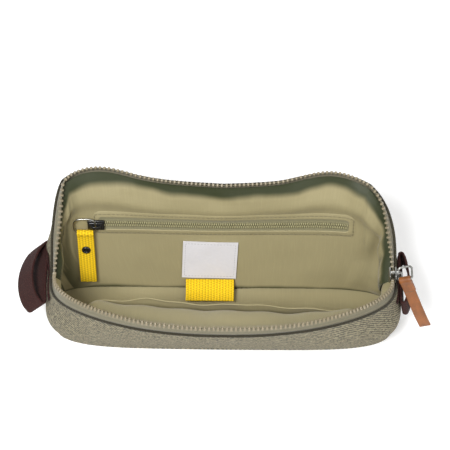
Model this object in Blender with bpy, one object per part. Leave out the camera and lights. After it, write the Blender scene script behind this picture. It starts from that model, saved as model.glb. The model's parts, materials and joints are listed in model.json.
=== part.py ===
"""An open toiletry bag standing on its bottom: canvas shell, lining, two pockets, zips, pulls and end loops.

Metres, +Z up. X runs along the bag, -Y is its front. The origin is the middle of the bottom's underside.
The front and rear walls swing about their bottom seams, so the mouth opens and closes.
"""
import math

import bmesh
import bpy
from mathutils import Matrix, Vector

# Driving dimensions of the bag
LENGTH = 0.254  # along X, at the bottom
DEPTH = 0.052  # front to rear, at the bottom
HEIGHT = 0.100  # top edge of the front and rear canvas
SPREAD = 0.031  # how far each wall's top edge leans out past its bottom seam
END_HEIGHT = 0.060  # canvas height at the middle of each end, where the zip stops
CORNER_RADIUS = 0.016  # upright corners, seen from above
END_BULGE = 0.005  # how far the ends swell out
BULGE_HEIGHT = 0.060  # height over which they swell out and come back
RIM_POWER = 1.2  # how the ends' edges rise from their middle to the walls
WALL_INSET = 0.007  # from the end of a corner's curve to the edge of a wall panel

# Cloth and fits
CANVAS = 0.0015
LINING = 0.0008
GAP = 0.0003  # between pieces that touch
END_SLACK = 0.0006  # extra room for the ends' lining, whose curves are coarser than the tape's
BOTTOM_SEAM_RISE = 0.0005  # room for a wall's foot to turn above the bottom lining

# Main zip
TAPE = 0.0007
TAPE_IN_SEAM = 0.005  # tape held between canvas and lining
TAPE_SHOWN = 0.0055  # tape that stands above the canvas
TOOTH_PITCH = 0.0031
TOOTH_HEIGHT = 0.0028
TOOTH_THICK = 0.0024
TOOTH_ROOT = 0.45  # share of the height that the row keeps between two teeth
STOP_SIZE = 0.0030
STOP_ROUND = 0.2  # a stop's corner radius, as a share of its size

# Main slider, its link and the leather pull
SLIDER_LENGTH = 0.009
SLIDER_WIDTH = 0.0085
SLIDER_PLATE = 0.0009
SLIDER_CLEAR = 0.0004  # between a row of teeth and a plate
SLIDER_TRAVEL = 0.008
BAIL_BAR = 0.0009
BAIL_EYE = 0.0030
BAIL_LENGTH = 0.0062
BAIL_WIDTH = 0.0020
BAIL_SHOULDER = 0.7  # share of the bail's height where its arch begins
BAIL_CROWN = 0.6  # share of its length that is flat on top
EYE_SHOULDER = 0.75  # the same for its eye
EYE_CROWN = 0.5
POST_SHARE = 0.11  # half the slider's post, as a share of its width
LINK_SIDE = 0.0118
LINK_BAR = 0.0013
LINK_CORNER = 0.35  # outer corner radius, as a share of half its side
LINK_INNER_CORNER = 0.6  # share of the bar that the inner corner takes off that radius
LINK_TILT = math.radians(23)  # the link rises outwards by this angle
PULL_LENGTH = 0.048
PULL_WIDTH = 0.0068
PULL_LEATHER = 0.0014
PULL_TURN_BACK = 0.020  # the leather's shorter, folded back leg
PULL_LEAN = math.radians(18)  # the pull hangs forward by this angle

# Pocket in the rear wall
WINDOW_LENGTH = 0.184
WINDOW_HEIGHT = 0.011
WINDOW_UP = 0.066  # middle of the window, up the wall
WINDOW_CORNER = 0.0006
TRIM_WIDTH = 0.0035
TRIM_THICK = 0.0005
COIL_WIDTH = 0.0021
COIL_THICK = 0.0014
POCKET_DROP = 0.050  # depth of the pocket below its window
POCKET_SLIDER_LENGTH = 0.012
POCKET_SLIDER_WIDTH = 0.0075
POCKET_SLIDER_PAST = 0.002  # the slider's middle at rest, past the window's end
POCKET_RING_WIDTH = 0.0175
POCKET_RING_DROP = 0.0145
RING_WIRE = 0.0012
WIRE_ROOM = 0.75  # room round a square bar in a fold, as a share of the bar
PULLER_WIDTH = 0.0122
PULLER_LENGTH = 0.0475
PULLER_WEBBING = 0.0012
EYELET_RADIUS = 0.0034
EYELET_HOLE = 0.4  # hole radius, as a share of the eyelet's
EYELET_THICK = 0.0008
FOLD_NECK = 1.8  # where a folded strip's two legs close up, in radii of its eye
EYELET_DOWN = 0.32  # share of the puller's length above the eyelet

# Slip pocket in the front wall
SLIP_HEIGHT = 0.050
SLIP_SAG = 0.0215  # how far its open edge hangs away from the wall
SLIP_SIDE_SAG = 0.35  # share of that sag left at its two sides
SLIP_MARGIN = 0.003  # from a wall's edge to the pocket's side
SLIP_FLATNESS = 4  # how level the sag is across the pocket
SLIP_OPENING = 1.3  # how late the pocket leaves the wall on its way up

# Label and tab on the rear wall
LABEL_WIDTH = 0.041
LABEL_HEIGHT = 0.036
LABEL_LEFT = -0.031
LABEL_UP = 0.0110  # lower edge, up the wall
LABEL_THICK = 0.0008
TAB_WIDTH = 0.0365
TAB_LENGTH = 0.0175
TAB_WEBBING = 0.0012
TAB_START = math.radians(25)  # the tab leaves the wall at this angle
TAB_END = math.radians(85)  # and its end leans off the wall by this angle

# Webbing loops on the ends
LOOP_HALF = 0.0235
LOOP_WIDTH = 0.020
LOOP_WEBBING = 0.0016
LOOP_Y = 0.003  # the loops sit a little behind the middle
LOOP_TOP = 0.0570
LEFT_BOW = 0.0110
LEFT_TILT = math.radians(42)
RIGHT_BOW = 0.0
RIGHT_TILT = math.radians(14)
BOW_ROUND = 0.6  # how full the outer run's bow is
ANCHOR_HEIGHT = 0.0025
ANCHOR_WEBBING = 0.0008

# Fineness of curves
CORNER_STEPS = 4
FLAT_STEPS = 4
RIM_SAMPLES = 400
ROW_SAMPLES = 40
FOLD_STEPS = 6
LOOP_STEPS = 8
EYELET_STEPS = 4
SHARP_ANGLE = math.radians(40)

COLOURS = {
    "canvas": ((0.27, 0.25, 0.18), 0.95, 0.0),
    "lining": ((0.34, 0.30, 0.17), 0.75, 0.0),
    "zip_tape": ((0.20, 0.18, 0.11), 0.90, 0.0),
    "zip_teeth": ((0.42, 0.37, 0.25), 0.45, 0.0),
    "coil": ((0.33, 0.36, 0.20), 0.50, 0.0),
    "brown_webbing": ((0.055, 0.024, 0.024), 0.85, 0.0),
    "yellow_webbing": ((0.86, 0.56, 0.01), 0.70, 0.0),
    "leather": ((0.45, 0.14, 0.03), 0.55, 0.0),
    "silver": ((0.60, 0.60, 0.58), 0.25, 1.0),
    "black_metal": ((0.015, 0.015, 0.015), 0.25, 0.6),
    "label": ((0.70, 0.69, 0.70), 0.80, 0.0),
}

FOOT = CANVAS + GAP + LINING + BOTTOM_SEAM_RISE  # height of the walls' hinges
LEAN = math.atan2(SPREAD, HEIGHT - FOOT)
WALL_HEIGHT = math.hypot(SPREAD, HEIGHT - FOOT)  # up the wall, from its hinge to the canvas's edge
WALL_HALF = LENGTH / 2 - CORNER_RADIUS - WALL_INSET
TAPE_OUT = CANVAS + GAP  # the tape's outer face, in from the canvas's outer face
TAPE_MIDDLE = TAPE_OUT + TAPE / 2
LINING_OUT = TAPE_OUT + TAPE + GAP
SKIN = LINING_OUT + LINING  # from the canvas's outer face to the lining's inner face
FRONT, REAR = -1, 1
LEFT, RIGHT = -1, 1


def clear_scene():
    for old in list(bpy.data.objects):
        bpy.data.objects.remove(old, do_unlink=True)


def material(name):
    found = bpy.data.materials.get(name)
    if found:
        return found
    colour, roughness, metallic = COLOURS[name]
    made = bpy.data.materials.new(name)
    made.use_nodes = True
    shader = made.node_tree.nodes["Principled BSDF"]
    shader.inputs["Base Color"].default_value = (*colour, 1.0)
    shader.inputs["Roughness"].default_value = roughness
    shader.inputs["Metallic"].default_value = metallic
    made.diffuse_color = (*colour, 1.0)
    return made


def joint_empty(name, place, parent=None):
    empty = bpy.data.objects.new(name, None)
    bpy.context.scene.collection.objects.link(empty)
    empty.parent = parent
    start = parent.matrix_world.translation if parent else Vector()
    empty.location = Vector(place) - start
    bpy.context.view_layer.update()
    return empty


def finish(name, bm, finish_name, parent=None, smooth=False):
    """Turns a bmesh in world coordinates into a named object whose origin is its parent's."""
    bmesh.ops.recalc_face_normals(bm, faces=bm.faces)
    if parent:
        bmesh.ops.translate(bm, verts=bm.verts, vec=-parent.matrix_world.translation)
    mesh = bpy.data.meshes.new(name)
    bm.to_mesh(mesh)
    bm.free()
    if smooth:
        mesh.shade_smooth()
        mesh.set_sharp_from_angle(angle=SHARP_ANGLE)
    mesh.materials.append(material(finish_name))
    made = bpy.data.objects.new(name, mesh)
    bpy.context.scene.collection.objects.link(made)
    made.parent = parent
    return made


def prism(outline, height, place):
    """A closed bmesh: an outline in its own XY plane, extruded along its own Z, then placed."""
    bm = bmesh.new()
    face = bm.faces.new([bm.verts.new((x, y, 0.0)) for x, y in outline])
    grown = bmesh.ops.extrude_face_region(bm, geom=[face])
    top = [v for v in grown["geom"] if isinstance(v, bmesh.types.BMVert)]
    bmesh.ops.translate(bm, verts=top, vec=(0.0, 0.0, height))
    bmesh.ops.transform(bm, matrix=place, verts=bm.verts)
    return bm


def frame_prism(outer, inner, height, place):
    """A closed bmesh: the band between two outlines with the same number of points, extruded."""
    bm = bmesh.new()
    count = len(outer)
    out_verts = [bm.verts.new((x, y, 0.0)) for x, y in outer]
    in_verts = [bm.verts.new((x, y, 0.0)) for x, y in inner]
    faces = []
    for i in range(count):
        j = (i + 1) % count
        faces.append(bm.faces.new((out_verts[i], out_verts[j], in_verts[j], in_verts[i])))
    grown = bmesh.ops.extrude_face_region(bm, geom=faces)
    top = [v for v in grown["geom"] if isinstance(v, bmesh.types.BMVert)]
    bmesh.ops.translate(bm, verts=top, vec=(0.0, 0.0, height))
    bmesh.ops.transform(bm, matrix=place, verts=bm.verts)
    return bm


def rounded(half_x, half_y, radius, steps=3):
    """The outline of a rectangle with round corners, anticlockwise."""
    points = []
    for turn in range(4):
        middle_x = (half_x - radius) * (1 if turn in (0, 3) else -1)
        middle_y = (half_y - radius) * (1 if turn in (0, 1) else -1)
        for step in range(steps + 1):
            angle = (turn + step / steps) * math.pi / 2
            points.append((middle_x + radius * math.cos(angle), middle_y + radius * math.sin(angle)))
    return points


def sheet(name, rows, thick, finish_name, parent=None, closed=False):
    """A cloth or webbing piece: a grid of points given thickness. Closed joins each row's ends."""
    bm = bmesh.new()
    grid = [[bm.verts.new(point) for point in row] for row in rows]
    columns = len(grid[0])
    last = columns if closed else columns - 1
    for low, high in zip(grid, grid[1:]):
        for i in range(last):
            j = (i + 1) % columns
            bm.faces.new((low[i], low[j], high[j], high[i]))
    if parent:
        bmesh.ops.translate(bm, verts=bm.verts, vec=-parent.matrix_world.translation)
    mesh = bpy.data.meshes.new(name)
    bm.to_mesh(mesh)
    bm.free()
    mesh.materials.append(material(finish_name))
    made = bpy.data.objects.new(name, mesh)
    bpy.context.scene.collection.objects.link(made)
    made.parent = parent
    solid = made.modifiers.new("thickness", "SOLIDIFY")
    solid.thickness = thick
    solid.offset = 0.0
    solid.use_even_offset = True
    return made


def combine(target, tool_bm, operation, word):
    """Joins a second closed shape to an object, or cuts it away, and keeps the tool out of renders."""
    tool = finish(f"{target.name}_{word}", tool_bm, target.data.materials[0].name, target.parent)
    tool.hide_render = True
    tool.display_type = "WIRE"
    boolean = target.modifiers.new(word, "BOOLEAN")
    boolean.operation = operation
    boolean.solver = "EXACT"
    boolean.object = tool


def wall_frame(side):
    """The wall's own axes: X along the bag, Y up the wall, Z in through it from the canvas's face."""
    up = Vector((0.0, side * math.sin(LEAN), math.cos(LEAN)))
    inward = Vector((0.0, -side * math.cos(LEAN), math.sin(LEAN)))
    along = up.cross(inward)
    frame = Matrix((along, up, inward)).transposed().to_4x4()
    frame.translation = Vector((0.0, side * DEPTH / 2, FOOT))
    return frame


def wall_point(side, x, up, inward):
    place = wall_frame(side)
    turned = Vector((x * place.col[0][0], up, inward))
    return place @ turned


def wall_slab(name, side, x_range, up_range, in_range, finish_name, parent):
    """A flat piece of a wall, given by its ranges along the bag, up the wall and in through it."""
    half = (x_range[1] - x_range[0]) / 2
    middle = (x_range[1] + x_range[0]) / 2 * wall_frame(side).col[0][0]
    outline = [
        (middle - half, up_range[0]),
        (middle + half, up_range[0]),
        (middle + half, up_range[1]),
        (middle - half, up_range[1]),
    ]
    place = wall_frame(side) @ Matrix.Translation((0.0, 0.0, in_range[0]))
    return finish(name, prism(outline, in_range[1] - in_range[0], place), finish_name, parent)


def end_x(z):
    """How far out an end's canvas stands at a height."""
    return LENGTH / 2 + END_BULGE * math.sin(math.pi * z / BULGE_HEIGHT)


def wall_y(z):
    return DEPTH / 2 + math.tan(LEAN) * (z - FOOT)


def end_rim(y):
    """Height of an end canvas's edge: lowest in the middle, and up to the walls' edges."""
    share = min(abs(y) / wall_y(HEIGHT), 1.0)
    return END_HEIGHT + (HEIGHT - END_HEIGHT) * share**RIM_POWER


def end_plan():
    """Points round an end from its front wall to its rear wall, as (kind, share) pairs."""
    plan = [("front", 0.0)]
    plan += [("front_corner", step / CORNER_STEPS) for step in range(CORNER_STEPS + 1)]
    plan += [("flat", step / FLAT_STEPS) for step in range(1, FLAT_STEPS)]
    plan += [("rear_corner", step / CORNER_STEPS) for step in range(CORNER_STEPS + 1)]
    plan.append(("rear", 1.0))
    return plan


def end_place(side, station, z, inset):
    """A point of an end's wall at a height, moved in from the canvas's outer face by inset."""
    kind, share = station
    far = end_x(z) - inset
    deep = wall_y(z) - inset / math.cos(LEAN)
    radius = CORNER_RADIUS - inset
    start = WALL_HALF + GAP
    if kind == "front":
        return Vector((side * start, -deep, z))
    if kind == "rear":
        return Vector((side * start, deep, z))
    if kind == "flat":
        return Vector((side * far, (deep - radius) * (2 * share - 1), z))
    middle_x = far - radius
    middle_y = deep - radius
    angle = share * math.pi / 2
    if kind == "front_corner":
        return Vector((side * (middle_x + radius * math.sin(angle)), -middle_y - radius * math.cos(angle), z))
    return Vector((side * (middle_x + radius * math.cos(angle)), middle_y + radius * math.sin(angle), z))


def end_height(side, station, z_share, low, rise):
    """A height at a share of the way from low up to the end's rim plus rise, at a station."""
    y = end_place(side, station, HEIGHT, 0.0).y
    return low + (end_rim(y) + rise - low) * z_share


def end_sheet(name, side, inset, thick, low, rise, rows, finish_name, in_seam=None):
    """One cloth that wraps an end of the bag. With in_seam it is a band under the rim instead."""
    grid = []
    for row in range(rows + 1):
        line = []
        for station in end_plan():
            z = end_height(side, station, row / rows, low, rise)
            if in_seam is not None:
                top = end_height(side, station, 1.0, low, rise)
                z = top - in_seam * (1 - row / rows)
            line.append(end_place(side, station, z, inset + thick / 2))
        grid.append(line)
    return sheet(name, grid, thick, finish_name)


# The fixed part of the bag

def make_bottom():
    outline = rounded(LENGTH / 2, DEPTH / 2, CORNER_RADIUS)
    finish("bottom_panel", prism(outline, CANVAS, Matrix()), "canvas")
    inner = rounded(LENGTH / 2 - SKIN - GAP, DEPTH / 2 - SKIN - GAP, CORNER_RADIUS - SKIN - GAP)
    place = Matrix.Translation((0.0, 0.0, CANVAS + GAP))
    finish("bottom_lining", prism(inner, LINING, place), "lining")


def make_end(side, word):
    low = CANVAS + GAP
    end_sheet(word + "_end_panel", side, 0.0, CANVAS, low, 0.0, 5, "canvas")
    inset = LINING_OUT + END_SLACK
    foot = low + LINING + GAP
    end_sheet(word + "_end_lining", side, inset, LINING, foot, -GAP, 5, "lining")
    band = TAPE_IN_SEAM + TAPE_SHOWN
    end_sheet(word + "_zip_end_tape", side, TAPE_OUT, TAPE, low, TAPE_SHOWN, 3, "zip_tape", band)


def tooth_line(start, end, count):
    """Shares along a row of teeth and the height of the row at each: root, tip, tip, root."""
    line = []
    for tooth in range(count):
        for share, height in ((0.0, TOOTH_ROOT), (0.5, 1.0)):
            line.append((start + (end - start) * (tooth + share) / count, height))
    line.append((end, TOOTH_ROOT))
    return line


def end_station_at(share):
    """A station of the end plan at a share of the way from its front wall to its rear wall."""
    plan = end_plan()
    spot = share * (len(plan) - 1)
    return plan[min(int(spot), len(plan) - 2)], plan[min(int(spot), len(plan) - 2) + 1], spot - int(spot)


def end_rim_point(side, share, rise, inset):
    first, second, blend = end_station_at(share)
    points = []
    for station in (first, second):
        z = end_height(side, station, 1.0, 0.0, rise)
        points.append(end_place(side, station, z, inset))
    return points[0].lerp(points[1], blend)


def end_rim_shares(side, from_rear):
    """The stretch of an end's rim that carries one row of teeth: from its wall to near the middle."""
    clear = SLIDER_WIDTH / 2 + GAP
    for i in range(RIM_SAMPLES + 1):
        share = 0.5 * i / RIM_SAMPLES
        if abs(end_rim_point(side, share, 0.0, TAPE_MIDDLE).y) < clear:
            break
    return (1 - share, 1.0) if from_rear else (0.0, share)


def tape_top(reach):
    """Height of an end tape's edge at a distance in front of the middle, as its straight runs give it."""
    for i in range(RIM_SAMPLES + 1):
        point = end_rim_point(RIGHT, 0.5 - 0.5 * i / RIM_SAMPLES, TAPE_SHOWN, TAPE_MIDDLE)
        if abs(point.y) >= reach:
            break
    return point.z


def make_end_teeth(side, word, from_rear):
    start, end = end_rim_shares(side, from_rear)
    low = TAPE_SHOWN + GAP
    shares = [start + (end - start) * i / ROW_SAMPLES for i in range(ROW_SAMPLES + 1)]
    samples = [end_rim_point(side, share, low, TAPE_MIDDLE) for share in shares]
    reach = sum((b - a).length for a, b in zip(samples, samples[1:]))
    count = max(4, round(reach / TOOTH_PITCH))
    rows = [[], []]
    for share, height in tooth_line(start, end, count):
        foot = end_rim_point(side, share, low, TAPE_MIDDLE)
        rows[0].append(foot)
        rows[1].append(foot + Vector((0.0, 0.0, TOOTH_HEIGHT * height)))
    name = word + ("_rear" if from_rear else "_front") + "_end_teeth"
    sheet(name, rows, TOOTH_THICK, "zip_teeth")


def make_zip_stops():
    """A stop above each row's end on the left, and the bottom stop under the slider on the right."""
    size = STOP_SIZE
    corner = size * STOP_ROUND
    high = tape_top(size + GAP) + GAP
    middle = -(end_x(high) - TAPE_MIDDLE)
    for word, way in (("front", -1), ("rear", 1)):
        place = Matrix.Translation((middle, way * (size / 2 + GAP), high))
        finish("zip_top_stop_" + word, prism(rounded(size / 2, size / 2, corner), size, place), "zip_teeth")
    outward = end_x(end_rim(0.0)) - TAPE_OUT + GAP
    low = tape_top(size + GAP) - TAPE_SHOWN + GAP
    place = Matrix.Translation((outward + size / 4, 0.0, low))
    finish("zip_bottom_stop", prism(rounded(size / 4, size, corner), size, place), "zip_teeth")


# The walls that swing

def make_wall(side, word, joint):
    x_range = (-WALL_HALF, WALL_HALF)
    panel_range = (0.0, WALL_HEIGHT)
    wall_slab(word + "_panel", side, x_range, panel_range, (0.0, CANVAS), "canvas", joint)
    lining = wall_slab(
        word + "_lining", side, x_range, (GAP, WALL_HEIGHT - GAP), (LINING_OUT, SKIN), "lining", joint
    )
    tape_range = (WALL_HEIGHT - TAPE_IN_SEAM, WALL_HEIGHT + TAPE_SHOWN)
    wall_slab(word + "_zip_tape", side, x_range, tape_range, (TAPE_OUT, TAPE_OUT + TAPE), "zip_tape", joint)
    count = round(2 * WALL_HALF / TOOTH_PITCH)
    rows = [[], []]
    foot = WALL_HEIGHT + TAPE_SHOWN + GAP
    for x, height in tooth_line(-WALL_HALF, WALL_HALF, count):
        rows[0].append(wall_point(side, x, foot, TAPE_MIDDLE))
        rows[1].append(wall_point(side, x, foot + TOOTH_HEIGHT * height, TAPE_MIDDLE))
    sheet(word + "_zip_teeth", rows, TOOTH_THICK, "zip_teeth", joint)
    return lining


def make_slip_pocket(joint):
    """A lining pocket on the front wall whose open edge hangs away from it."""
    half = WALL_HALF - SLIP_MARGIN
    rows = []
    for up_share in (0.0, 0.2, 0.4, 0.6, 0.8, 1.0):
        row = []
        for x_share in (-1.0, -0.9, -0.7, -0.45, -0.15, 0.15, 0.45, 0.7, 0.9, 1.0):
            side_share = SLIP_SIDE_SAG + (1 - SLIP_SIDE_SAG) * (1 - abs(x_share) ** SLIP_FLATNESS)
            off = SKIN + GAP + LINING / 2 + SLIP_SAG * up_share**SLIP_OPENING * side_share
            row.append(wall_point(FRONT, half * x_share, GAP * 4 + SLIP_HEIGHT * up_share, off))
        rows.append(row)
    sheet("slip_pocket", rows, LINING, "lining", joint)


def make_zip_pocket(lining, joint):
    """The window in the rear lining, its trim, tapes and coils, and the pocket's back sheet."""
    place = wall_frame(REAR) @ Matrix.Translation((0.0, WINDOW_UP, LINING_OUT - GAP))
    half_x = WINDOW_LENGTH / 2
    half_y = WINDOW_HEIGHT / 2
    window = prism(rounded(half_x, half_y, WINDOW_CORNER), LINING + 2 * GAP, place)
    combine(lining, window, "DIFFERENCE", "cutter")
    trim_place = wall_frame(REAR) @ Matrix.Translation((0.0, WINDOW_UP, SKIN + GAP))
    outer = rounded(half_x + TRIM_WIDTH, half_y + TRIM_WIDTH, TRIM_WIDTH)
    inner = rounded(half_x, half_y, WINDOW_CORNER)
    finish("pocket_window_trim", frame_prism(outer, inner, TRIM_THICK, trim_place), "lining", joint)
    edge = half_y - GAP
    inside = half_x - GAP
    for word, low, high in (("lower", -edge, -COIL_WIDTH - 2 * GAP), ("upper", COIL_WIDTH + 2 * GAP, edge)):
        up_range = (WINDOW_UP + low, WINDOW_UP + high)
        in_range = (LINING_OUT, LINING_OUT + TAPE)
        wall_slab("pocket_tape_" + word, REAR, (-inside, inside), up_range, in_range, "zip_tape", joint)
    near = GAP / 2
    far = COIL_WIDTH + GAP / 2
    for word, low, high in (("lower", -far, -near), ("upper", near, far)):
        up_range = (WINDOW_UP + low, WINDOW_UP + high)
        in_range = (LINING_OUT, LINING_OUT + COIL_THICK)
        wall_slab("pocket_coil_" + word, REAR, (-inside, inside), up_range, in_range, "coil", joint)
    up_range = (WINDOW_UP - POCKET_DROP, WINDOW_UP + half_y + TRIM_WIDTH)
    in_range = (TAPE_OUT, TAPE_OUT + TAPE)
    reach = half_x + TRIM_WIDTH
    wall_slab("pocket_back", REAR, (-reach, reach), up_range, in_range, "lining", joint)


def make_label(joint):
    x_range = (LABEL_LEFT, LABEL_LEFT + LABEL_WIDTH)
    up_range = (LABEL_UP, LABEL_UP + LABEL_HEIGHT)
    in_range = (SKIN + GAP, SKIN + GAP + LABEL_THICK)
    wall_slab("label_patch", REAR, x_range, up_range, in_range, "label", joint)


def rear_down_and_off():
    """Directions down the rear wall and off it, into the bag."""
    down = -Vector((0.0, math.sin(LEAN), math.cos(LEAN)))
    off = Vector((0.0, -math.cos(LEAN), math.sin(LEAN)))
    return down, off


def tab_hinge():
    middle = LABEL_LEFT + LABEL_WIDTH / 2
    return wall_point(REAR, middle, LABEL_UP - GAP, SKIN + GAP + TAB_WEBBING / 2)


def make_label_tab(joint):
    """Wide webbing that hangs from the label's lower edge and leans out over the bottom."""
    top = tab_hinge()
    down, off = rear_down_and_off()
    rows = []
    radius = TAB_LENGTH / (TAB_END - TAB_START)
    for share in (0.0, 0.25, 0.5, 0.75, 1.0):
        turn = TAB_START + (TAB_END - TAB_START) * share
        drop = radius * (math.sin(turn) - math.sin(TAB_START)) + TAB_WEBBING / 2
        away = radius * (math.cos(TAB_START) - math.cos(turn))
        point = top + down * drop + off * away
        rows.append([point + Vector((TAB_WIDTH * way / 2, 0.0, 0.0)) for way in (-1, 0, 1)])
    sheet("label_tab", rows, TAB_WEBBING, "yellow_webbing", joint)


# Pocket slider, ring and puller

def pocket_slider_x():
    return -WINDOW_LENGTH / 2 - POCKET_SLIDER_PAST


def slider_back():
    """The plane of the pocket slider's underside, in from the canvas."""
    return LINING_OUT + COIL_THICK + GAP


def ring_hinge():
    """The ring's side bar runs up through the slider's eye."""
    return wall_point(REAR, pocket_slider_x(), WINDOW_UP, slider_back() + SLIDER_PLATE + GAP + RING_WIRE)


def make_pocket_slider(joint):
    place = wall_frame(REAR) @ Matrix.Translation(
        (pocket_slider_x() * wall_frame(REAR).col[0][0], WINDOW_UP, slider_back())
    )
    outline = rounded(POCKET_SLIDER_LENGTH / 2, POCKET_SLIDER_WIDTH / 2, POCKET_SLIDER_WIDTH / 3)
    slider = finish("pocket_slider", prism(outline, SLIDER_PLATE, place), "black_metal", joint)
    combine(slider, bail(place @ Matrix.Translation((0.0, 0.0, SLIDER_PLATE))), "UNION", "tool")


def bail(place):
    """An arch that stands on a slider's plate, its eye open across the slider."""
    half = BAIL_LENGTH / 2
    high = BAIL_EYE + BAIL_BAR
    shoulder = high * BAIL_SHOULDER
    eye_shoulder = BAIL_EYE * EYE_SHOULDER
    sink = SLIDER_PLATE / 2
    outline = [
        (-half, -sink),
        (-half, shoulder),
        (-half * BAIL_CROWN, high),
        (half * BAIL_CROWN, high),
        (half, shoulder),
        (half, -sink),
        (half - BAIL_BAR, -sink),
        (half - BAIL_BAR, eye_shoulder),
        (half * EYE_CROWN, BAIL_EYE),
        (-half * EYE_CROWN, BAIL_EYE),
        (-half + BAIL_BAR, eye_shoulder),
        (-half + BAIL_BAR, -sink),
    ]
    stand = Matrix.Translation((0.0, BAIL_WIDTH / 2, 0.0)) @ Matrix.Rotation(math.pi / 2, 4, "X")
    return prism(outline, BAIL_WIDTH, place @ stand)


def make_pocket_ring(joint):
    """A flat wire ring: its right side is in the slider's eye, its lower bar in the puller's fold."""
    frame = wall_frame(REAR)
    frame.translation = ring_hinge() - Vector(((POCKET_RING_WIDTH - RING_WIRE) / 2, 0.0, 0.0))
    frame = frame @ Matrix.Translation((0.0, 0.0, -RING_WIRE / 2))
    half_x = POCKET_RING_WIDTH / 2
    half_y = POCKET_RING_DROP / 2
    corner = (POCKET_RING_WIDTH - PULLER_WIDTH) / 2 - GAP
    outer = rounded(half_x, half_y, corner)
    inner = rounded(half_x - RING_WIRE, half_y - RING_WIRE, corner - RING_WIRE)
    finish("pocket_ring", frame_prism(outer, inner, RING_WIRE, frame), "silver", joint, smooth=True)


def puller_hinge():
    """The middle of the ring's lower bar."""
    down, _ = rear_down_and_off()
    aside = Vector(((POCKET_RING_WIDTH - RING_WIRE) / 2, 0.0, 0.0))
    return ring_hinge() - aside + down * (POCKET_RING_DROP - RING_WIRE) / 2


def folded_strip(eye, layer, length, back_length):
    """The middle line of a strip folded over a bar at the origin: (down, off) points, front leg last."""
    radius = eye + layer / 2
    half = layer / 2 + GAP / 2
    neck = radius * FOLD_NECK
    line = [(back_length, -half), (neck, -half)]
    for step in range(FOLD_STEPS + 1):
        angle = -math.pi * 0.75 + 1.5 * math.pi * step / FOLD_STEPS
        line.append((-radius * math.cos(angle), radius * math.sin(angle)))
    line.append((neck, half))
    line.append((length, half))
    return line


def make_strip(name, line, centre, axes, width, thick, finish_name, joint):
    """A folded strip whose line runs along its axes' down and off, and whose width is along across."""
    down, off, across = axes
    rows = []
    for reach, away in line:
        middle = centre + down * reach + off * away
        rows.append([middle - across * width / 2, middle + across * width / 2])
    sheet(name, rows, thick, finish_name, joint)


def make_puller(joint):
    """Yellow webbing folded over the ring's lower bar, with an eyelet through its face."""
    down, off = rear_down_and_off()
    across = Vector((1.0, 0.0, 0.0))
    eye = RING_WIRE * WIRE_ROOM + GAP
    line = folded_strip(eye, PULLER_WEBBING, PULLER_LENGTH, PULLER_LENGTH)
    centre = puller_hinge()
    axes = (down, off, across)
    make_strip("pocket_puller", line, centre, axes, PULLER_WIDTH, PULLER_WEBBING, "yellow_webbing", joint)
    face = centre + down * PULLER_LENGTH * EYELET_DOWN + off * (PULLER_WEBBING + GAP * 1.5)
    place = wall_frame(REAR)
    place.translation = face
    outer = rounded(EYELET_RADIUS, EYELET_RADIUS, EYELET_RADIUS, EYELET_STEPS)
    hole = EYELET_RADIUS * EYELET_HOLE
    inner = rounded(hole, hole, hole, EYELET_STEPS)
    finish("puller_eyelet", frame_prism(outer, inner, EYELET_THICK, place), "black_metal", joint, smooth=True)


# Main slider, link and leather pull

def main_slider_place():
    """The middle of the slider, between the two rows of teeth at the right end."""
    high = tape_top(slider_post()) + GAP + SLIDER_LENGTH / 2
    return Vector((end_x(high) - TAPE_MIDDLE, 0.0, high))


def slider_half_gap():
    return TOOTH_THICK / 2 + SLIDER_CLEAR


def slider_post():
    """Half the width of the post between the slider's plates."""
    return SLIDER_WIDTH * POST_SHARE


def link_hinge():
    outward = slider_half_gap() + SLIDER_PLATE + BAIL_EYE / 2
    return main_slider_place() + Vector((outward, 0.0, 0.0))


def make_main_slider(joint):
    """Two plates joined by a post, and a bail for the link on the outer plate."""
    centre = main_slider_place()
    gap = slider_half_gap()
    plate = gap + SLIDER_PLATE
    wide = SLIDER_WIDTH / 2
    post = slider_post()
    outline = [
        (-plate, -wide),
        (-gap, -wide),
        (-gap, -post),
        (gap, -post),
        (gap, -wide),
        (plate, -wide),
        (plate, wide),
        (gap, wide),
        (gap, post),
        (-gap, post),
        (-gap, wide),
        (-plate, wide),
    ]
    place = Matrix.Translation(centre - Vector((0.0, 0.0, SLIDER_LENGTH / 2)))
    slider = finish("main_slider", prism(outline, SLIDER_LENGTH, place), "silver", joint)
    face = Matrix.Translation(centre + Vector((plate, 0.0, 0.0)))
    stand = Matrix(((0, 0, 1, 0), (0, 1, 0, 0), (-1, 0, 0, 0), (0, 0, 0, 1)))
    combine(slider, bail(face @ stand), "UNION", "tool")


def link_axes():
    """Directions across the link and along its leather bar."""
    along = Vector((math.cos(LINK_TILT), 0.0, math.sin(LINK_TILT)))
    across = Vector((0.0, -1.0, 0.0))
    return across, along


def make_link(joint):
    """A square link: one side is in the slider's eye, the side in front of it carries the leather."""
    across, along = link_axes()
    centre = link_hinge() + along * (LINK_SIDE / 2 - LINK_BAR / 2)
    normal = along.cross(across)
    place = Matrix((along, across, normal)).transposed().to_4x4()
    place.translation = centre - normal * LINK_BAR / 2
    half = LINK_SIDE / 2
    corner = half * LINK_CORNER
    outer = rounded(half, half, corner)
    inner = rounded(half - LINK_BAR, half - LINK_BAR, corner - LINK_BAR * LINK_INNER_CORNER)
    finish("pull_link", frame_prism(outer, inner, LINK_BAR, place), "silver", joint, smooth=True)


def pull_hinge():
    across, along = link_axes()
    return link_hinge() + along * (LINK_SIDE - LINK_BAR) / 2 + across * (LINK_SIDE - LINK_BAR) / 2


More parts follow.
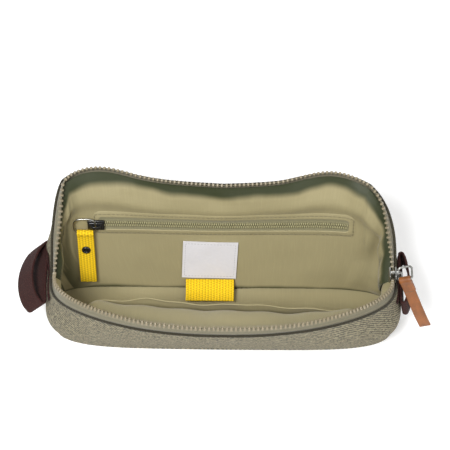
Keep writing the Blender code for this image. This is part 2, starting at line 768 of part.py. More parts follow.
def pull_axes():
    """Directions down the pull, off its face, and across it along the link's bar."""
    _, along = link_axes()
    straight = Vector((math.sin(LINK_TILT), 0.0, -math.cos(LINK_TILT)))
    down = Matrix.Rotation(-PULL_LEAN, 3, along) @ straight
    return down, down.cross(along), along


def make_leather_pull(joint):
    """Leather folded over the link's front bar: a long leg and a shorter one behind it."""
    eye = LINK_BAR * WIRE_ROOM + GAP
    line = folded_strip(eye, PULL_LEATHER, PULL_LENGTH, PULL_TURN_BACK)
    make_strip("leather_pull", line, pull_hinge(), pull_axes(), PULL_WIDTH, PULL_LEATHER, "leather", joint)


# Webbing loops

def loop_hinge(side):
    z = LOOP_TOP
    return Vector((side * (end_x(z) + ANCHOR_WEBBING + 3 * GAP), LOOP_Y, z))


def make_loop(side, word, bow, tilt, joint):
    """A flattened webbing loop: an inner run by the canvas and an outer run that bows away."""
    hinge = loop_hinge(side)
    down = Vector((side * math.sin(tilt), 0.0, -math.cos(tilt)))
    outward = Vector((side, 0.0, 0.0))
    radius = LOOP_WEBBING / 2 + GAP
    steps = LOOP_STEPS
    line = [(LOOP_HALF * (2 * step / steps - 1), LOOP_WEBBING / 2) for step in range(steps + 1)]
    line.append((LOOP_HALF + radius, LOOP_WEBBING / 2 + radius))
    for step in range(steps + 1):
        y = LOOP_HALF * (1 - 2 * step / steps)
        bowed = bow * math.cos(math.pi / 2 * y / LOOP_HALF) ** BOW_ROUND
        line.append((y, LOOP_WEBBING / 2 + 2 * radius + bowed))
    line.append((-LOOP_HALF - radius, LOOP_WEBBING / 2 + radius))
    rows = []
    for share in (0.0, 0.5, 1.0):
        shift = hinge + down * (LOOP_WIDTH * share)
        rows.append([shift + Vector((0.0, y, 0.0)) + outward * (away + GAP) for y, away in line])
    sheet(word + "_loop", rows, LOOP_WEBBING, "brown_webbing", joint, closed=True)


def make_anchor(side, word):
    """Webbing sewn flat to the end canvas, which holds the loop."""
    low = LOOP_TOP - GAP
    top = low + ANCHOR_HEIGHT
    rows = []
    for z in (low, top):
        x = end_x(z) + GAP + ANCHOR_WEBBING / 2
        rows.append([Vector((side * x, LOOP_Y + y, z)) for y in (-LOOP_HALF, 0.0, LOOP_HALF)])
    sheet(word + "_loop_anchor", rows, ANCHOR_WEBBING, "brown_webbing")


def main():
    clear_scene()
    make_bottom()
    for side, word in ((LEFT, "left"), (RIGHT, "right")):
        make_end(side, word)
        make_end_teeth(side, word, False)
        make_end_teeth(side, word, True)
        make_anchor(side, word)
    make_zip_stops()
    front = joint_empty("front_wall_joint", (0.0, -DEPTH / 2, FOOT))
    make_wall(FRONT, "front", front)
    make_slip_pocket(front)
    rear = joint_empty("rear_wall_joint", (0.0, DEPTH / 2, FOOT))
    rear_lining = make_wall(REAR, "rear", rear)
    make_zip_pocket(rear_lining, rear)
    make_label(rear)
    make_label_tab(joint_empty("label_tab_joint", tab_hinge(), rear))
    pocket_slide = joint_empty("pocket_slider_joint", ring_hinge(), rear)
    make_pocket_slider(pocket_slide)
    ring = joint_empty("pocket_ring_joint", ring_hinge(), pocket_slide)
    make_pocket_ring(ring)
    make_puller(joint_empty("pocket_puller_joint", puller_hinge(), ring))
    slide = joint_empty("main_slider_joint", main_slider_place())
    make_main_slider(slide)
    link = joint_empty("pull_link_joint", link_hinge(), slide)
    make_link(link)
    make_leather_pull(joint_empty("leather_pull_joint", pull_hinge(), link))
    make_loop(LEFT, "left", LEFT_BOW, LEFT_TILT, joint_empty("left_loop_joint", loop_hinge(LEFT)))
    make_loop(RIGHT, "right", RIGHT_BOW, RIGHT_TILT, joint_empty("right_loop_joint", loop_hinge(RIGHT)))


main()
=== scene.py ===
"""Looks of an open canvas toiletry bag: shell, lining, zips, pockets, label, pulls and webbing loops.

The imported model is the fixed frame. Every piece made here takes its place and size from that frame.
"""
import json
import math

import bpy
import numpy as np
from bpy.props import FloatProperty, FloatVectorProperty, IntProperty, PointerProperty
from mathutils import Matrix, Vector, noise
from mathutils.bvhtree import BVHTree


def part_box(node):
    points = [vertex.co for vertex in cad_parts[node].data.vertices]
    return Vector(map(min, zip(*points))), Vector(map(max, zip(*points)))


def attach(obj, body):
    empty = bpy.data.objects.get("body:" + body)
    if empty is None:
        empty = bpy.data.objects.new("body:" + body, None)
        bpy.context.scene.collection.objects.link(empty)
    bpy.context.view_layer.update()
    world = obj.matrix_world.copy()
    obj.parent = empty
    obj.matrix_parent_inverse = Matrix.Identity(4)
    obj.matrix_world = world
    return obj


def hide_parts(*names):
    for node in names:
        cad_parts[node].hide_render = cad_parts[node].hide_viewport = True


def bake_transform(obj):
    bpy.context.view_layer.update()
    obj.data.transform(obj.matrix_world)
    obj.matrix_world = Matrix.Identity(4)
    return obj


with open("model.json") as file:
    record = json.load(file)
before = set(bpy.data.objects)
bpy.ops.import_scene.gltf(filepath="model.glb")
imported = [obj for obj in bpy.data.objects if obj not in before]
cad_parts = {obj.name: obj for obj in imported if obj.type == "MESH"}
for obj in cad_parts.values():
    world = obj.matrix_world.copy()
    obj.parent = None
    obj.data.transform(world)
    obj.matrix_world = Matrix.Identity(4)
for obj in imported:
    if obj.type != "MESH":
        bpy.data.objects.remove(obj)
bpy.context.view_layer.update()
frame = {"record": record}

bl_info = {
    "name": "Toiletry bag",
    "version": (1, 0, 0),
    "blender": (4, 5, 0),
    "location": "View3D > Sidebar > Bag",
    "description": "Builds the cloth, zips, pulls and loops of an open toiletry bag around its frame",
    "category": "Object",
}

# Places and sizes read from the frame, in metres
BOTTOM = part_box("bottom_panel")
FRONT_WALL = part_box("front_panel")
REAR_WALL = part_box("rear_panel")
HALF_LENGTH = BOTTOM[1][0]
HALF_DEPTH = BOTTOM[1][1]
CANVAS = BOTTOM[1][2] - BOTTOM[0][2]
TOP = FRONT_WALL[1][2]
END_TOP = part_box("zip_bottom_stop")[0][2] - 0.001
WALL_LEAN = math.atan2(REAR_WALL[1][1] - REAR_WALL[0][1], REAR_WALL[1][2] - REAR_WALL[0][2])
JOINTS = {joint["name"]: joint for joint in frame["record"]["behaviour"]["joints"]}
REAR_HINGE = Vector(JOINTS["rear_wall_hinge"]["pos_m"])
FRONT_HINGE = Vector(JOINTS["front_wall_hinge"]["pos_m"])

# How the layers of cloth lie, in from the canvas's outer face
TAPE_IN = CANVAS + 0.0004
LINING_IN = CANVAS + 0.0022
LINING_THICK = 0.0006
POCKET_SAG = 0.0205
TAPE_THICK = 0.0007
TAPE_ABOVE = 0.0052
TOOTH_PITCH = 0.0031
RIM_ROOM = 0.012  # above the canvas's top, where the outline is still followed
FOOT_HEIGHT = 0.0008  # where the walls' canvas meets the bottom
CLOTH_LEVEL = 0.6  # share of the height at which the cloth's length round the bag is measured
LINING_SHARE = 0.96  # of the canvas's height
CANVAS_FOLD = (0.045, 0.030, 0.060)
REAR_RISE = 0.5  # where the rear lining's UVs start, so that its folds can be shaded on their own

# Pockets, label, webbing and leather
SLIP_POCKET_HEIGHT = 0.0505
WINDOW_HALF = 0.0055
LABEL_HEIGHT = 0.0365
YELLOW_THICK = 0.0013
LOOP_WIDTH = 0.0195
LOOP_THICK = 0.0016
BAIL_WIDTH = 0.0022
LEATHER_WIDTH = 0.0086
LEATHER_THICK = 0.0015
LEATHER_LENGTH = 0.0478
LEATHER_FOLD = 0.0120

# Camera, in metres and degrees
CAMERA_ELEVATION = 59.83
CAMERA_AZIMUTH = 1.43
CAMERA_ROLL = -0.68
CAMERA_DISTANCE = 1.1
CAMERA_TARGET = (0.002, 0.0, 0.140)
CAMERA_LENS = 128.8


class BagSizes(bpy.types.PropertyGroup):
    front_mouth: FloatProperty(
        name="Front mouth", description="How far the front edge of the mouth stands from the middle",
        default=0.0083 - FRONT_WALL[0][1], unit="LENGTH",
    )
    rear_mouth: FloatProperty(
        name="Rear mouth", description="How far the rear edge of the mouth stands from the middle",
        default=REAR_WALL[1][1] + 0.001, unit="LENGTH",
    )
    end_swell: FloatProperty(
        name="End swell",
        description="How far the ends swell past the bottom",
        default=0.0055, unit="LENGTH",
    )
    lining_folds: FloatProperty(
        name="Lining folds",
        description="Height of the soft folds in the lining",
        default=0.0020, unit="LENGTH",
    )
    canvas_folds: FloatProperty(
        name="Canvas folds",
        description="Height of the soft folds in the canvas",
        default=0.0011, unit="LENGTH",
    )
    cloth_steps: IntProperty(
        name="Cloth steps",
        description="Faces along each half of the bag",
        default=190, min=40, max=400,
    )


class BagColours(bpy.types.PropertyGroup):
    canvas: FloatVectorProperty(
        name="Canvas",
        description="Main colour of the canvas",
        subtype="COLOR", default=(0.262, 0.232, 0.148),
    )
    lining: FloatVectorProperty(
        name="Lining",
        description="Colour of the lining",
        subtype="COLOR", default=(0.345, 0.300, 0.165),
    )
    tape: FloatVectorProperty(
        name="Zip tape",
        description="Colour of the zip tapes",
        subtype="COLOR", default=(0.205, 0.185, 0.120),
    )
    teeth: FloatVectorProperty(
        name="Teeth",
        description="Colour of the moulded teeth",
        subtype="COLOR", default=(0.245, 0.205, 0.132),
    )
    coil: FloatVectorProperty(
        name="Coil",
        description="Colour of the pocket's coil",
        subtype="COLOR", default=(0.37, 0.340, 0.185),
    )
    brown: FloatVectorProperty(
        name="End loops",
        description="Colour of the end loops",
        subtype="COLOR", default=(0.040, 0.013, 0.011),
    )
    yellow: FloatVectorProperty(
        name="Yellow webbing",
        description="Colour of the puller and tab",
        subtype="COLOR", default=(0.88, 0.57, 0.012),
    )
    leather: FloatVectorProperty(
        name="Leather",
        description="Colour of the leather pull",
        subtype="COLOR", default=(0.245, 0.078, 0.014),
    )
    label: FloatVectorProperty(
        name="Label",
        description="Colour of the woven label",
        subtype="COLOR", default=(0.66, 0.65, 0.68),
    )


# Materials


class Sum:
    """One socket of a material, so that shader maths can be written as an expression."""

    def __init__(self, finish, socket):
        self.finish = finish
        self.socket = socket

    def math(self, operation, *others):
        values = {0: self, **dict(enumerate(others, 1))}
        return self.finish.add("ShaderNodeMath", {"operation": operation}, values)

    def __add__(self, other):
        return self.math("ADD", other)

    def __sub__(self, other):
        return self.math("SUBTRACT", other)

    def __mul__(self, other):
        return self.math("MULTIPLY", other)

    def __rsub__(self, other):
        return self.finish.add("ShaderNodeMath", {"operation": "SUBTRACT"}, {0: other, 1: self})

    __radd__ = __add__
    __rmul__ = __mul__

    def sine(self):
        return self.math("SINE")

    def absolute(self):
        return self.math("ABSOLUTE")

    def biggest(self, other):
        return self.math("MAXIMUM", other)

    def above(self, edge, soft):
        """0 below an edge and 1 above it, with a soft step between."""
        return self.finish.add(
            "ShaderNodeMapRange",
            {"interpolation_type": "SMOOTHSTEP"},
            {"Value": self, "From Min": edge - soft, "From Max": edge + soft},
        )


class Finish:
    """Builds one procedural material on a Principled BSDF."""

    def __init__(self, name):
        self.material = bpy.data.materials.new(name)
        self.material.use_nodes = True
        self.tree = self.material.node_tree
        self.shader = self.tree.nodes["Principled BSDF"]

    def add(self, kind, settings=None, values=None, out=0):
        node = self.tree.nodes.new(kind)
        for key, value in (settings or {}).items():
            setattr(node, key, value)
        for key, value in (values or {}).items():
            if isinstance(value, Sum):
                self.tree.links.new(value.socket, node.inputs[key])
            else:
                node.inputs[key].default_value = value
        return Sum(self, node.outputs[out])

    def place(self, kind):
        return self.add("ShaderNodeTexCoord", out=kind)

    def stretched(self, where, scale, location=(0.0, 0.0, 0.0)):
        return self.add("ShaderNodeMapping", None, {"Vector": where, "Scale": scale, "Location": location})

    def parts(self, where):
        node = self.tree.nodes.new("ShaderNodeSeparateXYZ")
        self.tree.links.new(where.socket, node.inputs[0])
        return [Sum(self, node.outputs[i]) for i in range(3)]

    def noise(self, where, scale, detail=2.0, rough=0.5):
        values = {"Vector": where, "Scale": scale, "Detail": detail, "Roughness": rough}
        return self.add("ShaderNodeTexNoise", None, values, "Fac")

    def mix(self, share, first, second):
        node = self.tree.nodes.new("ShaderNodeMix")
        node.data_type = "RGBA"
        for key, value in ((0, share), (6, first), (7, second)):
            if isinstance(value, Sum):
                self.tree.links.new(value.socket, node.inputs[key])
            else:
                node.inputs[key].default_value = value if key == 0 else (*value[:3], 1.0)
        return Sum(self, node.outputs[2])

    def shine(self, **values):
        names = {"roughness": "Roughness", "metallic": "Metallic", "sheen": "Sheen Weight",
                 "sheen_rough": "Sheen Roughness", "coat": "Coat Weight", "specular": "Specular IOR Level"}
        for key, value in values.items():
            self.shader.inputs[names[key]].default_value = value
        return self

    def colour(self, value):
        if isinstance(value, Sum):
            self.tree.links.new(value.socket, self.shader.inputs["Base Color"])
        else:
            self.shader.inputs["Base Color"].default_value = (*value[:3], 1.0)
        return self

    def rough(self, value):
        self.tree.links.new(value.socket, self.shader.inputs["Roughness"])
        return self

    def bump(self, height, depth, strength=1.0):
        values = {"Height": height, "Distance": depth, "Strength": strength}
        made = self.add("ShaderNodeBump", None, values)
        self.tree.links.new(made.socket, self.shader.inputs["Normal"])
        return self


def shade(colour, factor):
    return tuple(min(1.0, part * factor) for part in colour)


def sine_of(part, pitch, turn=0.0):
    """A wave along one coordinate, from 0 to 1, that repeats every pitch metres."""
    return (part * (2 * math.pi / pitch) + turn).sine() * 0.5 + 0.5


def canvas_finish(colour):
    """Coarse heathered canvas: plain weave with slubs, in two tones."""
    made = Finish("bag_canvas")
    uv = made.place("UV")
    across, up, _ = made.parts(uv)
    wobble = made.noise(made.stretched(uv, (90.0, 90.0, 1.0)), 3.0) * 0.0016
    warp = sine_of(across + wobble, 0.00115)
    weft = sine_of(up + wobble, 0.00105)
    checks = sine_of(across, 0.0023) .above(0.5, 0.15)
    turn = sine_of(up, 0.0021).above(0.5, 0.15)
    over = (checks - turn).absolute()
    weave = warp * over + weft * (1 - over)
    slub_across = made.noise(made.stretched(uv, (190.0, 560.0, 1.0)), 1.0, 2.0, 0.5)
    slub_up = made.noise(made.stretched(uv, (560.0, 210.0, 1.0)), 1.0, 2.0, 0.5)
    twill = sine_of(across + up * 0.8 + wobble, 0.0034)
    heather = slub_across * 0.42 + slub_up * 0.42 + twill * 0.16
    patches = made.noise(made.stretched(uv, (28.0, 40.0, 1.0)), 1.0, 3.0)
    light = made.mix(heather.above(0.505, 0.055), shade(colour, 0.30), shade(colour, 1.70))
    toned = made.mix(weave * 0.25 + 0.70, shade(colour, 0.50), light)
    cloth = made.mix(patches * 0.35, toned, shade(colour, 0.86))
    # painted shadow: a dark band just under the canvas's top edge, in the seam groove below the zip tape
    made.colour(made.mix(up.above(TOP - 0.0011, 0.0004), cloth, shade(colour, 0.16)))
    made.shine(roughness=0.92, sheen=0.08, sheen_rough=0.5, specular=0.2)
    made.bump(weave * 0.6 + heather * 1.6, 0.00080, 1.0)
    return made.material


def lining_finish(colour):
    """Thin, smooth polyester lining with a faint weave and a satin sheen; the rear lining gets painted shade
    under the zip, along its foot and in the folds at its ends.
    """
    made = Finish("bag_lining")
    uv = made.place("UV")
    across, up, _ = made.parts(uv)
    fine = sine_of(across, 0.00050) * sine_of(up, 0.00042)
    streaks = made.noise(made.stretched(uv, (900.0, 60.0, 1.0)), 1.0, 2.0)
    clouds = made.noise(made.stretched(uv, (14.0, 18.0, 1.0)), 1.0, 2.0)
    tone = made.mix(clouds, shade(colour, 0.80), shade(colour, 1.10))
    cloth = made.mix(streaks.above(0.62, 0.2) * 0.22, tone, shade(colour, 1.25))
    drift = made.noise(made.stretched(uv, (22.0, 6.0, 1.0)), 1.0, 2.0) * 0.011
    # painted shadow: a dark green band on the rear lining just under the zip, where the tape's overhang
    # shades it
    painted_zip_shadow = (up + drift).above(REAR_RISE + 0.0975, 0.0030)
    # painted shadow: dark along the rear lining's foot, where the wall meets the bottom
    painted_foot_shadow = 1 - (up - drift * 0.4).above(REAR_RISE + 0.0020, 0.0020)
    rear = up.above(REAR_RISE - 0.001, 0.001)
    # painted shade: dark streaks in the upright folds at the rear lining's two ends
    ends = (across - 0.180).absolute().above(0.130, 0.022)
    upright = made.noise(made.stretched(uv, (95.0, 11.0, 1.0)), 1.0, 2.0).above(0.48, 0.07)
    # the rear lining's painted shade together, mixed towards a dark green shadow colour
    deep = (painted_zip_shadow * 0.95).biggest(painted_foot_shadow * 0.9).biggest(ends * upright * 0.85) * rear
    made.colour(made.mix(deep, cloth, (0.018, 0.027, 0.008)))
    made.rough(clouds * 0.14 + 0.44)
    made.shine(sheen=0.15, sheen_rough=0.35, specular=0.35)
    made.bump(fine * 0.5 + streaks * 0.4, 0.00012, 0.8)
    return made.material


def tape_finish(colour, name="zip_tape_cloth", pitch=0.00062):
    """Dense ribbed zip tape."""
    made = Finish(name)
    uv = made.place("UV")
    across, up, _ = made.parts(uv)
    ribs = sine_of(across + up * 0.5, pitch)
    fluff = made.noise(made.stretched(uv, (1400.0, 1400.0, 1.0)), 1.0)
    band = sine_of(up, 0.0026).above(0.55, 0.3)
    light = made.mix(band, shade(colour, 1.12), shade(colour, 1.4))
    made.colour(made.mix(ribs * 0.6 + fluff * 0.3, shade(colour, 0.66), light))
    made.shine(roughness=0.86, sheen=0.2, specular=0.3)
    made.bump(ribs + fluff * 0.5, 0.00018, 0.9)
    return made.material


def plastic_finish(name, colour, roughness=0.42):
    """Moulded plastic with small colour drift and a soft surface."""
    made = Finish(name)
    where = made.place("Object")
    grains = made.noise(where, 900.0, 3.0)
    drift = made.noise(where, 120.0)
    made.colour(made.mix(drift, shade(colour, 0.84), shade(colour, 1.14)))
    made.rough(grains * 0.16 + (roughness - 0.08))
    made.shine(specular=0.5)
    made.bump(grains, 0.00004, 0.6)
    return made.material


def webbing_finish(name, colour, rib=0.0011, pick=0.0008, speckle=(0.16, 0.045, 0.035), share=0.35):
    """Flat woven webbing: ribs along it, picks across, and a few lighter yarns."""
    made = Finish(name)
    uv = made.place("UV")
    along, across, _ = made.parts(uv)
    ribs = sine_of(across, rib)
    picks = sine_of(along + sine_of(across, rib * 2).above(0.5, 0.1) * (pick * 0.5), pick)
    weave = ribs * 0.6 + picks * 0.5
    yarn = made.noise(made.stretched(uv, (900.0, 1500.0, 1.0)), 1.0, 2.0)
    base = made.mix(weave, shade(colour, 0.55), shade(colour, 1.12))
    made.colour(made.mix(yarn.above(0.60, 0.06) * share, base, speckle))
    made.shine(roughness=0.85, specular=0.22)
    made.bump(weave, 0.00040, 0.9)
    return made.material


def leather_finish(colour):
    """Tan leather with a long, fine grain, pores and darker patches."""
    made = Finish("pull_leather")
    uv = made.place("UV")
    grain = made.noise(made.stretched(uv, (700.0, 2600.0, 1.0)), 1.0, 5.0, 0.65)
    pores = made.add("ShaderNodeTexVoronoi", None, {"Vector": uv, "Scale": 1900.0}, "Distance")
    blotch = made.noise(made.stretched(uv, (90.0, 160.0, 1.0)), 1.0, 3.0)
    tone = made.mix(blotch.above(0.5, 0.22), shade(colour, 0.68), shade(colour, 1.18))
    made.colour(made.mix(grain.above(0.55, 0.13) * 0.6, tone, shade(colour, 0.60)))
    made.rough(grain * 0.25 + 0.36)
    made.shine(specular=0.45, coat=0.08)
    made.bump(grain * 0.7 + pores * 0.6, 0.00018, 0.8)
    return made.material


def metal_finish(name, colour, roughness, metallic):
    """Die-cast metal, faintly brushed and handled."""
    made = Finish(name)
    where = made.place("Object")
    scratches = made.noise(made.stretched(where, (2600.0, 300.0, 900.0)), 1.0, 3.0)
    smudge = made.noise(where, 160.0, 2.0)
    made.colour(made.mix(smudge * 0.5, colour, shade(colour, 0.72)))
    made.rough(scratches * 0.12 + smudge * 0.10 + (roughness - 0.10))
    made.shine(metallic=metallic, specular=0.6)
    made.bump(scratches, 0.00002, 0.5)
    return made.material


def label_finish(colour):
    """Damask label: fine satin lines across and a faint mottle."""
    made = Finish("label_damask")
    uv = made.place("UV")
    across, up, _ = made.parts(uv)
    lines = sine_of(up, 0.00036)
    threads = sine_of(across, 0.00050)
    mottle = made.noise(made.stretched(uv, (400.0, 400.0, 1.0)), 1.0, 3.0)
    made.colour(made.mix(lines * 0.30 + mottle * 0.30, shade(colour, 1.18), shade(colour, 0.82)))
    made.shine(roughness=0.62, sheen=0.2, specular=0.4)
    made.bump(lines * threads + mottle * 0.3, 0.00012, 0.8)
    return made.material


def thread_finish(name, colour):
    made = Finish(name)
    where = made.place("Object")
    ply = made.noise(where, 2600.0, 2.0)
    made.colour(made.mix(ply, shade(colour, 0.8), shade(colour, 1.25)))
    made.shine(roughness=0.7, sheen=0.2, specular=0.35)
    made.bump(ply, 0.00006, 0.7)
    return made.material


FINISHES = {}


def finish_of(name):
    """The finish of a name, made the first time that it's asked for."""
    if name not in FINISHES:
        tint = bpy.context.scene.bag_colours
        makers = {
            "canvas": lambda: canvas_finish(tint.canvas),
            "lining": lambda: lining_finish(tint.lining),
            "zip_tape": lambda: tape_finish(tint.tape),
            "zip_teeth": lambda: plastic_finish("zip_teeth_moulded", tint.teeth),
            "coil": lambda: plastic_finish("pocket_coil_nylon", tint.coil, 0.5),
            "brown_webbing": lambda: webbing_finish("brown_webbing_weave", tint.brown),
            "yellow_webbing": lambda: webbing_finish(
                "yellow_webbing_weave", tint.yellow, 0.0022, 0.0019, (0.95, 0.75, 0.10), 0.2
            ),
            "leather": lambda: leather_finish(tint.leather),
            "silver": lambda: metal_finish("slider_silver", (0.42, 0.42, 0.40), 0.33, 1.0),
            "black_metal": lambda: metal_finish("pocket_slider_black", (0.020, 0.020, 0.020), 0.24, 0.3),
            "label": lambda: label_finish(tint.label),
            "olive_thread": lambda: thread_finish("olive_thread", shade(tint.lining, 0.52)),
            "dark_thread": lambda: thread_finish("dark_thread", shade(tint.tape, 0.45)),
            "label_thread": lambda: thread_finish("label_thread", shade(tint.label, 0.50)),
        }
        FINISHES[name] = makers[name]()
    return FINISHES[name]


# The bag's soft outline


def smooth(share):
    share = min(max(share, 0.0), 1.0)
    return share * share * (3 - 2 * share)


def mixed(low, high, share):
    return low + (high - low) * share


class Outline:
    """One half of the bag seen from above, at any height: a soft box from the left end round to the right."""

    def __init__(self, side):
        sizes = bpy.context.scene.bag_sizes
        self.side = side
        self.mouth = sizes.front_mouth if side < 0 else sizes.rear_mouth
        self.swell = sizes.end_swell
        self.cache = {}

    def length_at(self, z):
        share = z / TOP
        swell = self.swell * math.exp(-(((share - 0.30) / 0.24) ** 2))
        drawn_in = 0.0016 * smooth((share - 0.30) / 0.42) + 0.0014 * smooth((share - 0.66) / 0.34)
        return HALF_LENGTH - 0.001 + swell - drawn_in

    def depth_at(self, z):
        share = z / TOP
        belly = 0.0025 * math.sin(math.pi * min(share, 1.0))
        if self.side > 0:
            return mixed(HALF_DEPTH, self.mouth, share) + belly * 0.4
        return mixed(HALF_DEPTH, self.mouth, share) + belly

    def powers(self, z, right):
        """How square the outline is, at its ends and along its wall."""
        share = smooth(z / TOP)
        if self.side < 0:
            return mixed(4.8, 2.35, share), mixed(3.6, 2.3, share)
        if right:
            return mixed(7.0, 7.5, share), mixed(5.0, 4.4, share)
        return mixed(9.0, 13.0, share), mixed(6.5, 8.0, share)

    def slumped(self, x, y, z, right):
        """The soft corners: the ends swell past the mouth, and the rear wall leans out at its two corners."""
        share = min(z / TOP, 1.1)
        corner = np.clip(y / 0.066, 0.0, 1.0) ** 1.2
        corner = np.sin(math.pi * corner) ** 2 * (x / x.max()) ** 8
        swell = 0.0 if self.side < 0 else 0.0025 if right else 0.0065
        out = x + corner * swell * math.exp(-(((share - 0.46) / 0.26) ** 2))
        if right:
            out = out + 0.0022 * share**3
        if self.side < 0:
            return out, y
        middle, width = (0.074, 0.034) if right else (0.088, 0.040)
        lean = 0.0052 * share**3 * np.exp(-(((x - middle) / width) ** 2)) * (y / y.max())
        return out, y + lean

    def loop(self, z):
        """Points round the half at a height, evenly spaced, and their spacing's total."""
        key = round(z, 5)
        if key not in self.cache:
            angles = np.concatenate([np.linspace(0.0, 1.0, 260) ** 2 * math.pi / 2])
            quarter = {}
            for right in (False, True):
                n, m = self.powers(z, right)
                x = self.length_at(z) * np.power(np.cos(angles).clip(0), 2 / n)
                y = self.depth_at(z) * np.power(np.sin(angles).clip(0), 2 / m)
                quarter[right] = self.slumped(x, y, z, right)
            left_x, left_y = quarter[False]
            right_x, right_y = quarter[True]
            x = np.concatenate([-left_x, right_x[::-1][1:]])
            y = np.concatenate([left_y, right_y[::-1][1:]]) * self.side
            steps = np.hypot(np.diff(x), np.diff(y))
            reach = np.concatenate([[0.0], np.cumsum(steps)])
            self.cache[key] = (reach / reach[-1], x, y, reach[-1])
        return self.cache[key]

    def at(self, share, z):
        reach, x, y, total = self.loop(z)
        return float(np.interp(share, reach, x)), float(np.interp(share, reach, y)), total

    def rim(self, share):
        """Height of the canvas's edge: low at the ends, up to the walls, sagging in the wall's middle."""
        x, y, _ = self.at(share, TOP)
        rise = min(abs(y) / (self.mouth * 0.97), 1.0)
        high = END_TOP + (TOP - END_TOP) * rise**1.15
        middle = math.cos(math.pi / 2 * min(abs(x) / HALF_LENGTH, 1.0))
        if self.side < 0:
            return high - 0.0035 * middle**2 * smooth(rise)
        peaks = math.exp(-(((x + 0.092) / 0.034) ** 2)) + 0.75 * math.exp(-(((x - 0.078) / 0.034) ** 2))
        return high + (0.0072 * peaks - 0.0006) * smooth(rise)


def fold_field(point, size, seed):
    """Soft long folds, the same each run."""
    stretched = Vector((point.x / size[0], point.y / size[1], point.z / size[2] + seed))
    return noise.noise(stretched) + 0.5 * noise.noise(stretched * 2.1)


def skin_point(outline, share, up_share, above):
    """A point of the bag's wall: up_share runs from the bottom to the canvas's edge, above goes past it."""
    z = mixed(FOOT_HEIGHT, outline.rim(share), up_share) + above
    x, y, _ = outline.at(share, min(z, TOP + RIM_ROOM))
    return Vector((x, y, z))


def surface_grid(outline, columns, heights, inset, folds=0.0, seed=0.0):
    """Rows of points, with normals, over one half of the bag, at shares of the canvas's height."""
    shares = np.linspace(0.0, 1.0, columns + 1)
    grid = np.array([[skin_point(outline, share, up, 0.0)[:] for share in shares] for up in heights])
    normal = np.cross(np.gradient(grid, axis=1), np.gradient(grid, axis=0)) * -outline.side
    normal /= np.linalg.norm(normal, axis=2, keepdims=True) + 1e-12
    normal[:, 0] = normal[:, 0] * (1, 0, 1)
    normal[:, -1] = normal[:, -1] * (1, 0, 1)
    normal /= np.linalg.norm(normal, axis=2, keepdims=True) + 1e-12
    moved = grid - normal * inset
    if folds:
        for i, up in enumerate(heights):
            calm = smooth((1 - up) / 0.12) * smooth(up / 0.10)
            for j in range(columns + 1):
                spot = Vector(grid[i, j])
                moved[i, j] -= normal[i, j] * folds * calm * fold_field(spot, CANVAS_FOLD, seed)
    return moved, normal


def clean_select():
    if bpy.context.object and bpy.context.object.mode != "OBJECT":
        bpy.ops.object.mode_set(mode="OBJECT")
    bpy.ops.object.select_all(action="DESELECT")


def activate(piece):
    clean_select()
    piece.select_set(True)
    bpy.context.view_layer.objects.active = piece


def mesh_piece(name, points, faces, uvs=None):
    """A mesh object from points and faces, with an optional UV for each point."""
    mesh = bpy.data.meshes.new(name)
    mesh.from_pydata([tuple(p) for p in points], [], faces)
    if uvs is not None:
        layer = mesh.uv_layers.new(name="UVMap")
        corner = np.zeros(len(mesh.loops), np.int32)
        mesh.loops.foreach_get("vertex_index", corner)
        layer.data.foreach_set("uv", np.asarray(uvs, np.float32)[corner].ravel())
    mesh.update()
    piece = bpy.data.objects.new(name, mesh)
    bpy.context.scene.collection.objects.link(piece)
    return piece


def grid_piece(name, grid, uvs, closed=False):
    """A cloth grid as a piece. grid is rows x columns x 3."""
    rows, columns = grid.shape[:2]
    faces = []
    last = columns if closed else columns - 1
    for i in range(rows - 1):
        for j in range(last):
            k = (j + 1) % columns
            faces.append((i * columns + j, i * columns + k, (i + 1) * columns + k, (i + 1) * columns + j))
    return mesh_piece(name, grid.reshape(-1, 3), faces, uvs.reshape(-1, 2))


def uv_grid(across, up):
    """UVs in metres over a grid of cloth: across for its columns, up for its rows."""
    across, up = np.asarray(across), np.asarray(up)
    return np.dstack([np.tile(across, (len(up), 1)), np.tile(up[:, None], (1, len(across)))])


def thicken(piece, thick, offset=-1.0):
    """Gives a sheet its thickness and applies it."""
    activate(piece)
    solid = piece.modifiers.new("thickness", "SOLIDIFY")
    solid.thickness = thick
    solid.offset = offset
    solid.use_even_offset = False
    bpy.ops.object.modifier_apply(modifier=solid.name)


def outward(piece):
    activate(piece)
    bpy.ops.object.mode_set(mode="EDIT")
    bpy.ops.mesh.select_all(action="SELECT")
    bpy.ops.mesh.remove_doubles(threshold=0.00001)
    bpy.ops.mesh.normals_make_consistent(inside=False)
    bpy.ops.object.mode_set(mode="OBJECT")


def smoothed(piece, angle=50.0):
    activate(piece)
    bpy.ops.object.shade_smooth_by_angle(angle=math.radians(angle))


def dressed(piece, finish_name):
    piece.data.materials.clear()
    piece.data.materials.append(finish_of(finish_name))
    return piece


def settle(piece):
    """Puts a piece's place into its mesh."""
    activate(piece)
    bpy.ops.object.transform_apply(location=True, rotation=True, scale=True)


def joined(name, pieces):
    clean_select()
    for piece in pieces:
        piece.select_set(True)
    bpy.context.view_layer.objects.active = pieces[0]
    if len(pieces) > 1:
        bpy.ops.object.join()
    made = bpy.context.view_layer.objects.active
    made.name = name
    made.data.name = name
    return made


# How each half is split, so that its middle swings with its wall, apart from its two ends

SEAM_X = {-1: 0.076, 1: 0.103}
WALL_BODY = {-1: "front_wall", 1: "rear_wall"}
WORD = {-1: "front", 1: "rear"}


def bend_end(piece, half, end):
    """Puts a corner piece's place into its mesh; the line of its bend, between the fixed end seam and its
    wall, is worked out but not used.
    """
    far = HALF_LENGTH + 0.001
    if half < 0:
        along, across, reach = 1.0, 0.25, far - SEAM_X[half] + 0.0145
    else:
        along, across, reach = 1.0, 1.0, 0.052
    direction = Vector((-end * along, half * across, 0.0))
    start = Vector((end * far, 0.0, 0.0))
    stop = start + direction * (reach / direction.length_squared)
    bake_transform(piece)


